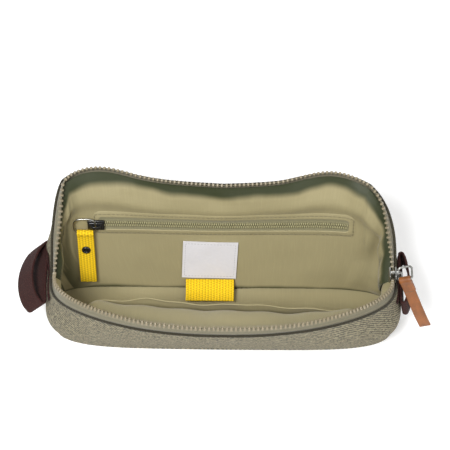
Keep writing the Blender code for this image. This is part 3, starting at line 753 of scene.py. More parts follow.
def cut_at(piece, plane_x, keep_high):
    """Keeps the part of a piece past a plane across X, and closes the cut."""
    activate(piece)
    bpy.ops.object.mode_set(mode="EDIT")
    bpy.ops.mesh.select_all(action="SELECT")
    bpy.ops.mesh.bisect(
        plane_co=(plane_x, 0, 0), plane_no=(1, 0, 0), use_fill=True, clear_inner=keep_high,
        clear_outer=not keep_high, threshold=0.000001,
    )
    bpy.ops.object.mode_set(mode="OBJECT")


def duplicate(piece, name):
    made = piece.copy()
    made.data = piece.data.copy()
    made.name = name
    made.data.name = name
    bpy.context.scene.collection.objects.link(made)
    return made


SURFACES = {}


def tree_of(piece):
    return BVHTree.FromPolygons(
        [v.co.copy() for v in piece.data.vertices], [tuple(f.vertices) for f in piece.data.polygons]
    )


def wall_axes(half):
    """Directions along a wall, up it and in through it."""
    up = Vector((0.0, half * math.sin(WALL_LEAN), math.cos(WALL_LEAN)))
    inward = Vector((0.0, -half * math.cos(WALL_LEAN), math.sin(WALL_LEAN)))
    return Vector((1.0, 0.0, 0.0)), up, inward


def wall_spot(half, x, up, off):
    """A point off the inner face of a wall's lining, up the wall from its hinge."""
    _, rise, inward = wall_axes(half)
    hinge = REAR_HINGE if half > 0 else FRONT_HINGE
    start = hinge + Vector((x, 0.0, 0.0)) + rise * up + inward * 0.030
    found = SURFACES[f"{WORD[half]}_lining"].ray_cast(start, -inward)
    return (found[0] or start - inward * 0.027) + inward * off


def pocket_sag(x):
    """How far the slip pocket's edge hangs in from the front wall, less at its two ends."""
    full = POCKET_SAG - 0.030 * x
    end = smooth((abs(x) - 0.088) / 0.026)
    return full * (1 - 0.86 * end) + 0.0006 * math.sin(x * 95.0) + 0.0004 * math.sin(x * 212.0 + 1.0)


def cloth(piece, size, held, rests_on, share=1.0):
    """Takes a piece cut to a size, in metres, whose cut fills a share of that rectangle; it works out that
    area and keeps nothing.
    """
    share * size[0] * size[1]


def split_and_ride(piece, base_name, half, finish_name, replaced, total, tall, held, rests_on):
    """Splits a half of the bag at its two seams across X, and sends its middle to its wall's body.

    The whole half is one cloth, total metres round and tall metres high.
    """
    seam = SEAM_X[half]
    left = duplicate(piece, f"left_{WORD[half]}_{base_name}")
    right = duplicate(piece, f"right_{WORD[half]}_{base_name}")
    piece.name = f"{WORD[half]}_{base_name}_middle"
    cut_at(left, -seam, False)
    cut_at(right, seam, True)
    cut_at(piece, -seam, True)
    cut_at(piece, seam, False)
    for part in (left, right, piece):
        smoothed(part, 60.0)
        dressed(part, finish_name)
    bend_end(left, half, -1)
    bend_end(right, half, 1)
    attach(piece, WALL_BODY[half])
    cloth(piece, (2 * seam, tall), held, rests_on)
    falling = (1 + END_TOP / TOP) / 2 if tall > 0.02 else 1.0
    for part, nodes in zip((left, right, piece), replaced):
        if part is not piece:
            cloth(part, (total / 2 - seam, tall), held, rests_on, falling)
        if nodes:
            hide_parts(*nodes)
    return left, right, piece


class BAG_OT_canvas(bpy.types.Operator):
    """Sews the canvas shell: two walls, four soft corners and the bottom"""

    bl_idname = "bag.canvas"
    bl_label = "Canvas shell"

    def execute(self, context):
        sizes = context.scene.bag_sizes
        heights = (0.0, 0.012, 0.03, 0.06, *np.linspace(0.1, 0.97, 24), 0.988, 1.0)
        for half in (-1, 1):
            outline = Outline(half)
            grid, _ = surface_grid(outline, sizes.cloth_steps, heights, 0.0, sizes.canvas_folds, 3.0 + half)
            total = outline.loop(TOP * CLOTH_LEVEL)[3]
            uvs = uv_grid(np.linspace(0.0, total, sizes.cloth_steps + 1), [up * TOP for up in heights])
            grid[0] = grid[0] + (grid[0] * (-0.012, -0.02, 0.0))
            piece = grid_piece("canvas", grid, uvs)
            flip_if_needed(piece, half)
            thicken(piece, CANVAS)
            word = WORD[half]
            replaced = (["left_end_panel"], ["right_end_panel"], [f"{word}_panel"])
            replaced = replaced if half < 0 else ([], [], [f"{word}_panel"])
            split_and_ride(piece, "canvas", half, "canvas", replaced, total, TOP, "stretched", "bottom_panel")
        self.bottom()
        return {"FINISHED"}

    def bottom(self):
        """The flat bottom, cut to the same soft outline as the walls."""
        ring = bottom_ring(-0.0004)
        piece = filled_ring("canvas_bottom", ring, 0.0)
        thicken(piece, CANVAS)
        smoothed(piece)
        dressed(piece, "canvas")
        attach(piece, "base")
        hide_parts("bottom_panel")
        cloth(piece, (2 * HALF_LENGTH, 2 * HALF_DEPTH), "stretched", "bottom_panel")


def bottom_ring(inset):
    """The outline of the bottom, anticlockwise from the left end."""
    points = []
    for half in (-1, 1):
        outline = Outline(half)
        shares = np.linspace(0.0, 1.0, 81)[:-1]
        ordered = shares if half < 0 else shares + (1.0 - shares[-1])
        ordered = ordered if half < 0 else ordered[::-1]
        for share in ordered:
            x, y, _ = outline.at(share, 0.001)
            length = math.hypot(x, y)
            points.append((x * (1 - inset / length), y * (1 - inset / length)))
    return points


def filled_ring(name, ring, z):
    """A flat cloth with a few rings of faces towards its middle line, so that it can dish softly."""
    count = len(ring)
    rings = (1.0, 0.97, 0.85, 0.65, 0.42, 0.2, 0.05)
    points = []
    for scale in rings:
        for x, y in ring:
            spine = max(abs(x) - HALF_DEPTH * 1.2, 0.0) * (1 if x > 0 else -1)
            points.append((mixed(spine, x, scale), y * scale, z))
    faces = []
    for i in range(len(rings) - 1):
        for j in range(count):
            k = (j + 1) % count
            faces.append((i * count + j, i * count + k, (i + 1) * count + k, (i + 1) * count + j))
    faces.append(tuple(range((len(rings) - 1) * count, len(rings) * count)))
    uvs = [(x, y) for x, y, _ in points]
    piece = mesh_piece(name, points, faces, uvs)
    outward_flat(piece, False)
    return piece


def outward_flat(piece, up):
    """Turns every face of a flat cloth to look up or down."""
    activate(piece)
    bpy.ops.object.mode_set(mode="EDIT")
    bpy.ops.mesh.select_all(action="SELECT")
    bpy.ops.mesh.normals_make_consistent(inside=False)
    bpy.ops.object.mode_set(mode="OBJECT")
    total = sum(face.normal.z * face.area for face in piece.data.polygons)
    if (total > 0) != up:
        piece.data.flip_normals()


def flip_if_needed(piece, half):
    """A wall's faces look away from the bag's middle."""
    total = sum(face.normal.y * face.area for face in piece.data.polygons)
    if total * half < 0:
        piece.data.flip_normals()


class BAG_OT_lining(bpy.types.Operator):
    """Hangs the thin lining inside the canvas, with its soft folds"""

    bl_idname = "bag.lining"
    bl_label = "Lining"

    def execute(self, context):
        sizes = context.scene.bag_sizes
        heights = (0.028, 0.035, 0.05, *np.linspace(0.08, 0.97, 30), 0.99)
        for half in (-1, 1):
            outline = Outline(half)
            grid, normal = surface_grid(outline, sizes.cloth_steps, heights, LINING_IN)
            self.fold(grid, normal, half, heights, sizes.lining_folds)
            if half < 0:
                self.droop(grid, heights)
            total = outline.loop(TOP * CLOTH_LEVEL)[3]
            start = REAR_RISE if half > 0 else 0.0
            around = np.linspace(0.0, total, sizes.cloth_steps + 1)
            uvs = uv_grid(around, [start + up * TOP for up in heights])
            piece = grid_piece("lining", grid, uvs)
            flip_if_needed(piece, half)
            thicken(piece, LINING_THICK)
            SURFACES[f"{WORD[half]}_lining"] = tree_of(piece)
            word = WORD[half]
            replaced = (["left_end_lining"], ["right_end_lining"], [f"{word}_lining"])
            replaced = replaced if half < 0 else ([], [], [f"{word}_lining"])
            tall = LINING_SHARE * TOP
            split_and_ride(piece, "lining", half, "lining", replaced, total, tall, "hung", f"{word}_zip_tape")
        ring = bottom_ring(0.0036)
        floor = filled_ring("lining_bottom", ring, BOTTOM[1][2] + 0.0003)
        for vertex in floor.data.vertices:
            wave = fold_field(vertex.co, (0.05, 0.022, 1.0), 2.0)
            vertex.co.z += 0.0012 + 0.0009 * wave
        floor.data.update()
        thicken(floor, LINING_THICK)
        smoothed(floor)
        dressed(floor, "lining")
        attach(floor, "base")
        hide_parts("bottom_lining")
        cloth(floor, (2 * HALF_LENGTH, 2 * HALF_DEPTH), "laid", "bottom_panel")
        return {"FINISHED"}

    def droop(self, grid, heights):
        """The front lining hangs in from the zip onto the slip pocket's edge, and tucks in under it."""
        inward = wall_axes(-1)[2]
        for i, up in enumerate(heights):
            hang = math.exp(-(((up - 0.545) / 0.235) ** 2)) if up < 0.545 else 1 - smooth((up - 0.545) / 0.43)
            for j in range(grid.shape[1]):
                x = grid[i, j, 0]
                grid[i, j] += np.array(inward) * hang * pocket_sag(x)

    def fold(self, grid, normal, half, heights, deep):
        """Long soft folds, deepest under the zip and in the corners, and always inwards."""
        for i, up in enumerate(heights):
            low = smooth(up / 0.15)
            calm = smooth((1.0 - up) / 0.05)
            for j in range(grid.shape[1]):
                spot = Vector(grid[i, j])
                start = 0.100 if spot.x < 0 else 0.088
                end = smooth((abs(spot.x) - start) / 0.02) * (1.0 if spot.x < 0 else 2.4)
                long_wave = 0.5 + 0.5 * fold_field(spot, (0.055, 0.03, 0.035), 7.0 * half)
                upright = 0.5 + 0.5 * fold_field(spot, (0.016, 0.016, 0.09), 11.0 * half)
                under_zip = math.exp(-(((up - 0.90) / 0.055) ** 2))
                bumps = 0.5 + 0.5 * fold_field(spot, (0.022, 0.02, 0.02), 5.0)
                inwards = deep * (0.55 * long_wave + end * 1.6 * upright) * low * calm
                inwards += under_zip * calm * (0.0006 + 0.0024 * bumps)
                if half > 0:
                    inwards += 0.0042 * math.exp(-(((up - 0.80) / 0.07) ** 2)) * (0.6 + 0.6 * long_wave)
                grid[i, j] -= normal[i, j] * inwards


# Main zip


def rim_frame(outline, share, inset):
    """The place, direction, rise and outward normal of the zip's line at a share of the half."""
    step = 0.0015
    low, high = max(share - step, 0.0), min(share + step, 1.0)
    here = skin_point(outline, share, 1.0, 0.0)
    along = (skin_point(outline, high, 1.0, 0.0) - skin_point(outline, low, 1.0, 0.0)).normalized()
    under = skin_point(outline, share, 1.0, -0.004)
    rise = (here - under).normalized()
    out = rise.cross(along).normalized()
    if out.dot(Vector((here.x * 0.3, here.y, 0.0))) < 0:
        out = -out
    rise = (rise - along * rise.dot(along)).normalized()
    out = (out - rise * out.dot(rise)).normalized()
    return here - out * inset, along, rise, out


def curl(outline, share):
    """How much the zip's band leans in over the mouth at a place."""
    x, y, _ = outline.at(share, TOP)
    wall = smooth((abs(y) - 0.006) / 0.03)
    corner = smooth((abs(x) - 0.05) / 0.05)
    return (0.80 if outline.side > 0 else mixed(0.62, 0.95, corner)) * wall + 0.15 * (1 - wall)


def band_point(outline, share, reach):
    """A point of the zip's band, reach above the canvas's edge, leaning in more as it rises."""
    here, along, rise, out = rim_frame(outline, share, TAPE_IN)
    lean = curl(outline, share)
    place = here + rise * reach * math.cos(lean) - out * max(reach, 0.0) * math.sin(lean)
    return place, along, rise, out, lean


def tooth_mesh():
    """One moulded tooth, its root at the origin: it reaches along +Y, X along the row, Z out."""
    clean_select()
    bpy.ops.mesh.primitive_cube_add(size=1.0)
    tooth = bpy.context.object
    tooth.scale = (0.0018, 0.0018, 0.0024)
    tooth.location = (0.0, 0.0009, 0.0)
    settle(tooth)
    bpy.ops.object.mode_set(mode="EDIT")
    bpy.ops.mesh.select_all(action="DESELECT")
    bpy.ops.object.mode_set(mode="OBJECT")
    for face in tooth.data.polygons:
        face.select = face.normal.y > 0.9
    bpy.ops.object.mode_set(mode="EDIT")
    bpy.ops.mesh.select_mode(type="FACE")
    bpy.ops.mesh.extrude_region_move(TRANSFORM_OT_translate={"value": (0.0, 0.0004, 0.0)})
    bpy.ops.transform.resize(value=(0.62, 1.0, 0.8))
    bpy.ops.mesh.extrude_region_move(TRANSFORM_OT_translate={"value": (0.0, 0.0007, 0.0)})
    bpy.ops.transform.resize(value=(1.45, 1.0, 1.05))
    bpy.ops.mesh.select_all(action="SELECT")
    bpy.ops.mesh.bevel(offset=0.00028, segments=1, affect="EDGES")
    bpy.ops.object.mode_set(mode="OBJECT")
    points = np.array([v.co[:] for v in tooth.data.vertices])
    faces = [tuple(face.vertices) for face in tooth.data.polygons]
    bpy.data.objects.remove(tooth, do_unlink=True)
    return points, faces


def repeated(name, points, faces, frames):
    """Copies of one small shape at many frames (place, x, y, z), as one mesh."""
    all_points = []
    all_faces = []
    for place, x, y, z in frames:
        start = len(all_points)
        turn = np.array([x[:], y[:], z[:]])
        all_points.extend(points @ turn + np.array(place[:]))
        all_faces.extend(tuple(index + start for index in face) for face in faces)
    return mesh_piece(name, all_points, all_faces)


class BAG_OT_main_zip(bpy.types.Operator):
    """Sets the main zip round the mouth: ribbed tape, moulded teeth and stops"""

    bl_idname = "bag.main_zip"
    bl_label = "Main zip"

    def execute(self, context):
        tooth = tooth_mesh()
        for half in (-1, 1):
            outline = Outline(half)
            self.tape(outline, half, context.scene.bag_sizes.cloth_steps)
            self.teeth(outline, half, tooth)
        self.stops()
        return {"FINISHED"}

    def tape(self, outline, half, columns):
        reaches = (-0.006, -0.004, -0.002, -0.0004, 0.001, 0.0025, 0.004, TAPE_ABOVE)
        shares = np.linspace(0.0, 1.0, columns + 1)
        grid = np.array([[band_point(outline, s, reach)[0][:] for s in shares] for reach in reaches])
        grid[:, 0, 1] = 0.0
        grid[:, -1, 1] = 0.0
        total = outline.loop(TOP)[3]
        piece = grid_piece("zip_tape", grid, uv_grid(shares * total, reaches))
        flip_if_needed(piece, half)
        thicken(piece, TAPE_THICK)
        word = WORD[half]
        ends = (["left_zip_end_tape"], ["right_zip_end_tape"]) if half < 0 else ([], [])
        replaced = (*ends, [f"{word}_zip_tape"])
        tall = reaches[-1] - reaches[0]
        rests_on = f"{word}_panel"
        split_and_ride(piece, "zip_tape", half, "zip_tape", replaced, total, tall, "stretched", rests_on)

    def teeth(self, outline, half, tooth):
        total = outline.loop(TOP)[3]
        clear = 0.0052 / total
        count = int((1.0 - 2 * clear) * total / TOOTH_PITCH)
        groups = {"left": [], "middle": [], "right": []}
        for i in range(count):
            share = mixed(clear, 1.0 - clear, (i + 0.5) / count)
            root, along, rise, out, lean = band_point(outline, share, TAPE_ABOVE - 0.0015)
            reach = rise * math.cos(lean) - out * math.sin(lean)
            thick = out * math.cos(lean) + rise * math.sin(lean)
            side = along if along.cross(reach).dot(thick) > 0 else -along
            spot = root + thick * (-TAPE_THICK / 2)
            seam = SEAM_X[half]
            key = "left" if spot.x < -seam else "right" if spot.x > seam else "middle"
            groups[key].append((spot, side, reach, thick))
        word = WORD[half]
        for key, frames in groups.items():
            name = f"{word}_zip_teeth_row" if key == "middle" else f"{key}_{word}_zip_teeth_row"
            piece = repeated(name, *tooth, frames)
            smoothed(piece, 35.0)
            dressed(piece, "zip_teeth")
            if key == "middle":
                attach(piece, WALL_BODY[half])
                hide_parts(f"{word}_zip_teeth")
            else:
                bend_end(piece, half, -1 if key == "left" else 1)
                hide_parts(f"{key}_{word}_end_teeth")

    def stops(self):
        """A moulded stop at each end of the rows of teeth."""
        for node in ("zip_top_stop_front", "zip_top_stop_rear", "zip_bottom_stop"):
            low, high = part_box(node)
            outline = Outline(-1 if low[1] + high[1] < -0.001 else 1)
            from_end = 0.0085 if "top" in node else 0.0020
            share = from_end if low[0] < 0 else 1 - from_end
            root, along, rise, out, lean = band_point(outline, share, TAPE_ABOVE - 0.0010)
            reach = rise * math.cos(lean) - out * math.sin(lean)
            thick = out * math.cos(lean) + rise * math.sin(lean)
            side = along if along.cross(reach).dot(thick) > 0 else -along
            size = (0.0026, 0.0030, 0.0025) if "top" in node else (0.0044, 0.0032, 0.0026)
            place = root - thick * TAPE_THICK / 2
            piece = rounded_block(node + "_moulded", size, place, (side, reach, thick), 0.0006, 2)
            dressed(piece, "zip_teeth")
            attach(piece, "base")
            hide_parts(node)


def strip(name, line, across, width, thick, finish_name, closed=False, columns=6, round_edge=0.3):
    """Webbing or leather: a middle line of points swept across its width, thickened, its edges softened."""
    line = [Vector(p) for p in line]
    steps = [across * (width * (j / columns - 0.5)) for j in range(columns + 1)]
    grid = np.array([[(p + step)[:] for p in line] for step in steps])
    reach = np.concatenate([[0.0], np.cumsum([(b - a).length for a, b in zip(line, line[1:])])])
    uvs = uv_grid(reach, [width * j / columns for j in range(columns + 1)])
    piece = grid_piece(name, grid, uvs, closed)
    activate(piece)
    solid = piece.modifiers.new("thickness", "SOLIDIFY")
    solid.thickness = thick
    solid.offset = 0.0
    solid.use_even_offset = True
    bpy.ops.object.modifier_apply(modifier=solid.name)
    bevel = piece.modifiers.new("soft edge", "BEVEL")
    bevel.width = thick * round_edge
    bevel.segments = 2
    bevel.limit_method = "ANGLE"
    bevel.angle_limit = math.radians(50)
    bpy.ops.object.modifier_apply(modifier=bevel.name)
    smoothed(piece, 45.0)
    run = sum((b - a).length for a, b in zip(line, line[1:]))
    if closed:
        run += (line[0] - line[-1]).length
    piece["run"] = run
    return dressed(piece, finish_name)


def curve_through(points, steps):
    """A smooth line through a few points, which passes through each."""
    points = [Vector(p) for p in points]
    padded = [points[0] * 2 - points[1], *points, points[-1] * 2 - points[-2]]
    line = []
    for i in range(1, len(padded) - 2):
        a, b, c, d = padded[i - 1 : i + 3]
        for step in range(steps):
            t = step / steps
            cubic = (2 * a - 5 * b + 4 * c - d) * t**2 + (3 * b - a - 3 * c + d) * t**3
            line.append(0.5 * ((2 * b) + (c - a) * t + cubic))
    line.append(points[-1])
    return line


def bar(name, line, radius, finish_name, sides=10):
    """A closed ring of round wire along a line of points."""
    count = len(line)
    points = []
    centre = sum(line, Vector()) / count
    for i, place in enumerate(line):
        forward = (line[(i + 1) % count] - line[i - 1]).normalized()
        out = (place - centre)
        out = (out - forward * out.dot(forward)).normalized()
        normal = forward.cross(out)
        for k in range(sides):
            angle = 2 * math.pi * k / sides
            points.append(place + out * radius * math.cos(angle) + normal * radius * math.sin(angle))
    faces = []
    for i in range(count):
        j = (i + 1) % count
        for k in range(sides):
            n = (k + 1) % sides
            faces.append((i * sides + k, j * sides + k, j * sides + n, i * sides + n))
    piece = mesh_piece(name, points, faces)
    outward(piece)
    smoothed(piece, 60.0)
    return dressed(piece, finish_name)


def rounded_loop(half_x, half_y, radius, steps, centre, x_axis, y_axis):
    """A closed line round a rectangle with round corners."""
    line = []
    for turn in range(4):
        middle_x = (half_x - radius) * (1 if turn in (0, 3) else -1)
        middle_y = (half_y - radius) * (1 if turn in (0, 1) else -1)
        for step in range(steps + 1):
            angle = (turn + step / steps) * math.pi / 2
            x = middle_x + radius * math.cos(angle)
            y = middle_y + radius * math.sin(angle)
            line.append(centre + x_axis * x + y_axis * y)
    return line


def stitch_mesh(length, wide, high):
    """One short thread between two needle holes: a small bowed bar along X, its underside at the origin."""
    clean_select()
    bpy.ops.mesh.primitive_cylinder_add(vertices=6, radius=0.5, depth=1.0, rotation=(0.0, math.pi / 2, 0.0))
    thread = bpy.context.object
    thread.scale = (high, wide, length)
    settle(thread)
    bpy.ops.object.mode_set(mode="EDIT")
    bpy.ops.mesh.select_all(action="SELECT")
    bpy.ops.mesh.bisect(plane_co=(length * 0.32, 0, 0), plane_no=(1, 0, 0))
    bpy.ops.mesh.select_all(action="SELECT")
    bpy.ops.mesh.bisect(plane_co=(-length * 0.32, 0, 0), plane_no=(1, 0, 0))
    bpy.ops.object.mode_set(mode="OBJECT")
    points = np.array([v.co[:] for v in thread.data.vertices])
    sink = (np.abs(points[:, 0]) / (length / 2)) ** 3
    points[:, 2] -= sink * high * 0.55
    faces = [tuple(face.vertices) for face in thread.data.polygons]
    bpy.data.objects.remove(thread, do_unlink=True)
    return points, faces


def sewn(name, stitch, frames, thread):
    """A run of stitches of one size (length, width, height), as one mesh."""
    stitches = repeated(name, *stitch_mesh(*stitch), frames)
    smoothed(stitches, 60.0)
    dressed(stitches, thread)
    return stitches


def stitch_frames(line, pitch, outwards):
    """Frames for a run of stitches along a line of points."""
    reach = np.concatenate([[0.0], np.cumsum([(b - a).length for a, b in zip(line, line[1:])])])
    coords = np.array([p[:] for p in line])
    count = max(1, int(reach[-1] / pitch))
    frames = []
    for i in range(count):
        where = (i + 0.5) * reach[-1] / count
        ends = []
        for offset in (-pitch / 3, pitch / 3):
            ends.append([np.interp(where + offset, reach, coords[:, k]) for k in range(3)])
        first, last = Vector(ends[0]), Vector(ends[1])
        place = (first + last) / 2
        x = (last - first).normalized()
        z = (outwards - x * outwards.dot(x)).normalized()
        frames.append((place, x, z.cross(x), z))
    return frames


# Pockets, label and tab


class BAG_OT_slip_pocket(bpy.types.Operator):
    """Hangs the slip pocket on the front wall, its open edge loose and a little wavy"""

    bl_idname = "bag.slip_pocket"
    bl_label = "Slip pocket"

    def execute(self, context):
        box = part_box("slip_pocket")
        high = SLIP_POCKET_HEIGHT
        _, up, inward = wall_axes(-1)
        columns = 180
        rows = [0.0, 0.02, 0.06, 0.12, 0.2, 0.3, 0.4, 0.5, 0.6, 0.7, 0.8, 0.87, 0.93, 0.97, 1.0]
        half = box[1][0] - 0.001
        xs = np.linspace(-half, half, columns + 1)
        grid = np.zeros((len(rows), columns + 1, 3))
        for i, row in enumerate(rows):
            for j, x in enumerate(xs):
                sag = pocket_sag(x)
                belly = sag * row**0.85 + 0.0015 * math.sin(math.pi * row)
                edge = 0.0008 * smooth((row - 0.75) / 0.25)
                wave = fold_field(Vector((x, row * high, 0.0)), (0.035, 0.022, 1.0), 4.0)
                wave *= 0.0012 * smooth(row / 0.3)
                gap = 0.0018 * math.exp(-(((x + 0.055) / 0.020) ** 2)) * smooth((row - 0.8) / 0.2)
                ripple = 0.0005 * math.sin(x * 140.0 + 0.6)
                ripple *= smooth((row - 0.7) / 0.3) * smooth((x - 0.03) / 0.05)
                off = 0.0024 + belly + edge + wave + gap + ripple
                end = smooth((abs(x) - 0.082) / 0.020)
                level = 0.0021 * math.sin(x * 41.0 + 0.8) * row
                rise = 0.0014 + high * row + level - 0.004 * end * row
                spot = FRONT_HINGE + Vector((x, 0, 0)) + up * rise
                grid[i, j] = (spot + inward * off)[:]
        piece = grid_piece("slip_pocket_cloth", grid, uv_grid(xs + half, [row * high for row in rows]))
        thicken(piece, LINING_THICK, 0.0)
        smoothed(piece, 60.0)
        dressed(piece, "lining")
        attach(piece, "front_wall")
        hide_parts("slip_pocket")
        cloth(piece, (2 * half, high), "hung", "front_lining")
        lift = inward * 0.0003
        line = [Vector(grid[-2, j]).lerp(Vector(grid[-3, j]), 0.4) + lift for j in range(2, columns - 1)]
        frames = stitch_frames(line, 0.0030, inward)
        size = (0.0021, 0.00038, 0.0003)
        stitches = sewn("slip_pocket_stitches", size, frames, "olive_thread")
        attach(stitches, "front_wall")
        return {"FINISHED"}


def window_place():
    """The middle of the pocket's window, from its frame: X, and distance up the wall."""
    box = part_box("pocket_coil_upper")
    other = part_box("pocket_coil_lower")
    _, up, _ = wall_axes(1)
    middle = (Vector(box[0]) + Vector(box[1]) + Vector(other[0]) + Vector(other[1])) / 4
    return middle.x, (middle - REAR_HINGE).dot(up)


class BAG_OT_zip_pocket(bpy.types.Operator):
    """Sews the zipped pocket into the rear lining: turned window edge, tapes, coil and stitches"""

    bl_idname = "bag.zip_pocket"
    bl_label = "Zipped pocket"

    def execute(self, context):
        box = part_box("pocket_coil_upper")
        half_x = box[1][0]
        half_y = WINDOW_HALF
        middle_x, middle_up = window_place()
        self.tapes(middle_x, middle_up, half_x, half_y)
        self.coil(middle_x, middle_up, half_x)
        self.window(middle_x, middle_up, half_x, half_y)
        return {"FINISHED"}

    def tapes(self, middle_x, middle_up, half_x, half_y):
        for word, low, high in (("lower", -half_y - 0.0010, -0.0003), ("upper", 0.0003, half_y + 0.0010)):
            xs = np.linspace(-half_x - 0.001, half_x + 0.001, 90)
            rows = np.linspace(low, high, 8)
            spots = [[wall_spot(1, middle_x + x, middle_up + v, 0.0004) for x in xs] for v in rows]
            grid = np.array([[spot[:] for spot in row] for row in spots])
            piece = grid_piece(f"pocket_zip_tape_{word}", grid, uv_grid(xs, rows))
            flip_if_needed(piece, -1)
            thicken(piece, 0.0006, 1.0)
            smoothed(piece)
            piece.data.materials.append(pocket_tape_finish())
            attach(piece, "rear_wall")
            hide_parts(f"pocket_tape_{word}")

    def coil(self, middle_x, middle_up, half_x):
        _, up, inward = wall_axes(1)
        bead = coil_mesh()
        pitch = 0.0016
        count = int(2 * half_x / pitch)
        for word, way in (("lower", -1), ("upper", 1)):
            frames = []
            for i in range(count):
                x = -half_x + (i + 0.5) * pitch + (pitch / 2 if way > 0 else 0.0)
                place = wall_spot(1, middle_x + x, middle_up + way * 0.0013, 0.0015)
                frames.append((place, Vector((1.0, 0, 0)), up * way, inward))
            piece = repeated(f"pocket_coil_{word}_turns", *bead, frames)
            outward(piece)
            smoothed(piece, 50.0)
            dressed(piece, "coil")
            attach(piece, "rear_wall")
            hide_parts(f"pocket_coil_{word}")

    def window(self, middle_x, middle_up, half_x, half_y):
        inward = wall_axes(1)[2]
        rows = (
            (0.0, 0.0004), (0.0, 0.0011), (0.0004, 0.0014), (0.0012, 0.0013),
            (0.0030, 0.0008), (0.0046, 0.0005), (0.0056, -0.0002),
        )
        grid = []
        for wide, off in rows:
            loop = rounded_loop(
                half_x + wide, half_y + wide, 0.0012 + wide, 5, Vector(), Vector((1, 0, 0)), Vector((0, 1, 0))
            )
            line = dense(loop, 0.0030)
            grid.append([wall_spot(1, middle_x + p.x, middle_up + p.y, off)[:] for p in line])
        shortest = min(len(row) for row in grid)
        grid = np.array([resampled(row, shortest) for row in grid])
        uvs = uv_grid(np.linspace(0.0, 0.4, shortest), [wide + off for wide, off in rows])
        piece = grid_piece("pocket_window_edge", grid, uvs, closed=True)
        flip_if_needed(piece, -1)
        thicken(piece, 0.0004, -1.0)
        smoothed(piece, 70.0)
        dressed(piece, "lining")
        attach(piece, "rear_wall")
        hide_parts("pocket_window_trim", "pocket_back")
        loop = rounded_loop(
            half_x + 0.0034, half_y + 0.0032, 0.0010, 3, Vector(), Vector((1, 0, 0)), Vector((0, 1, 0))
        )
        line = dense(loop + loop[:1], 0.0020)
        spots = [wall_spot(1, middle_x + p.x, middle_up + p.y, 0.0015) for p in line]
        frames = stitch_frames(spots, 0.0033, inward)
        size = (0.0022, 0.00042, 0.00040)
        stitches = sewn("pocket_window_stitches", size, frames, "olive_thread")
        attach(stitches, "rear_wall")


def dense(line, pitch):
    """A line with points no further apart than pitch."""
    made = []
    for a, b in zip(line, line[1:] + line[:1]):
        count = max(1, int((b - a).length / pitch))
        made += [a.lerp(b, i / count) for i in range(count)]
    return made


def resampled(row, count):
    row = np.array(row)
    looped = np.vstack([row, row[:1]])
    reach = np.concatenate([[0.0], np.cumsum(np.linalg.norm(np.diff(looped, axis=0), axis=1))])
    where = np.linspace(0.0, reach[-1], count, endpoint=False)
    return np.column_stack([np.interp(where, reach, looped[:, k]) for k in range(3)])


def coil_mesh():
    """One turn of the nylon coil: a flattened bead, its length across the zip."""
    clean_select()
    bpy.ops.mesh.primitive_uv_sphere_add(segments=8, ring_count=5, radius=0.5)
    bead = bpy.context.object
    bead.scale = (0.00120, 0.0024, 0.0019)
    settle(bead)
    points = np.array([v.co[:] for v in bead.data.vertices])
    faces = [tuple(face.vertices) for face in bead.data.polygons]
    bpy.data.objects.remove(bead, do_unlink=True)
    return points, faces


def pocket_tape_finish():
    if "pocket_tape" not in FINISHES:
        darker = shade(bpy.context.scene.bag_colours.coil, 0.72)
        FINISHES["pocket_tape"] = tape_finish(darker, "pocket_tape_cloth", 0.0005)
    return FINISHES["pocket_tape"]


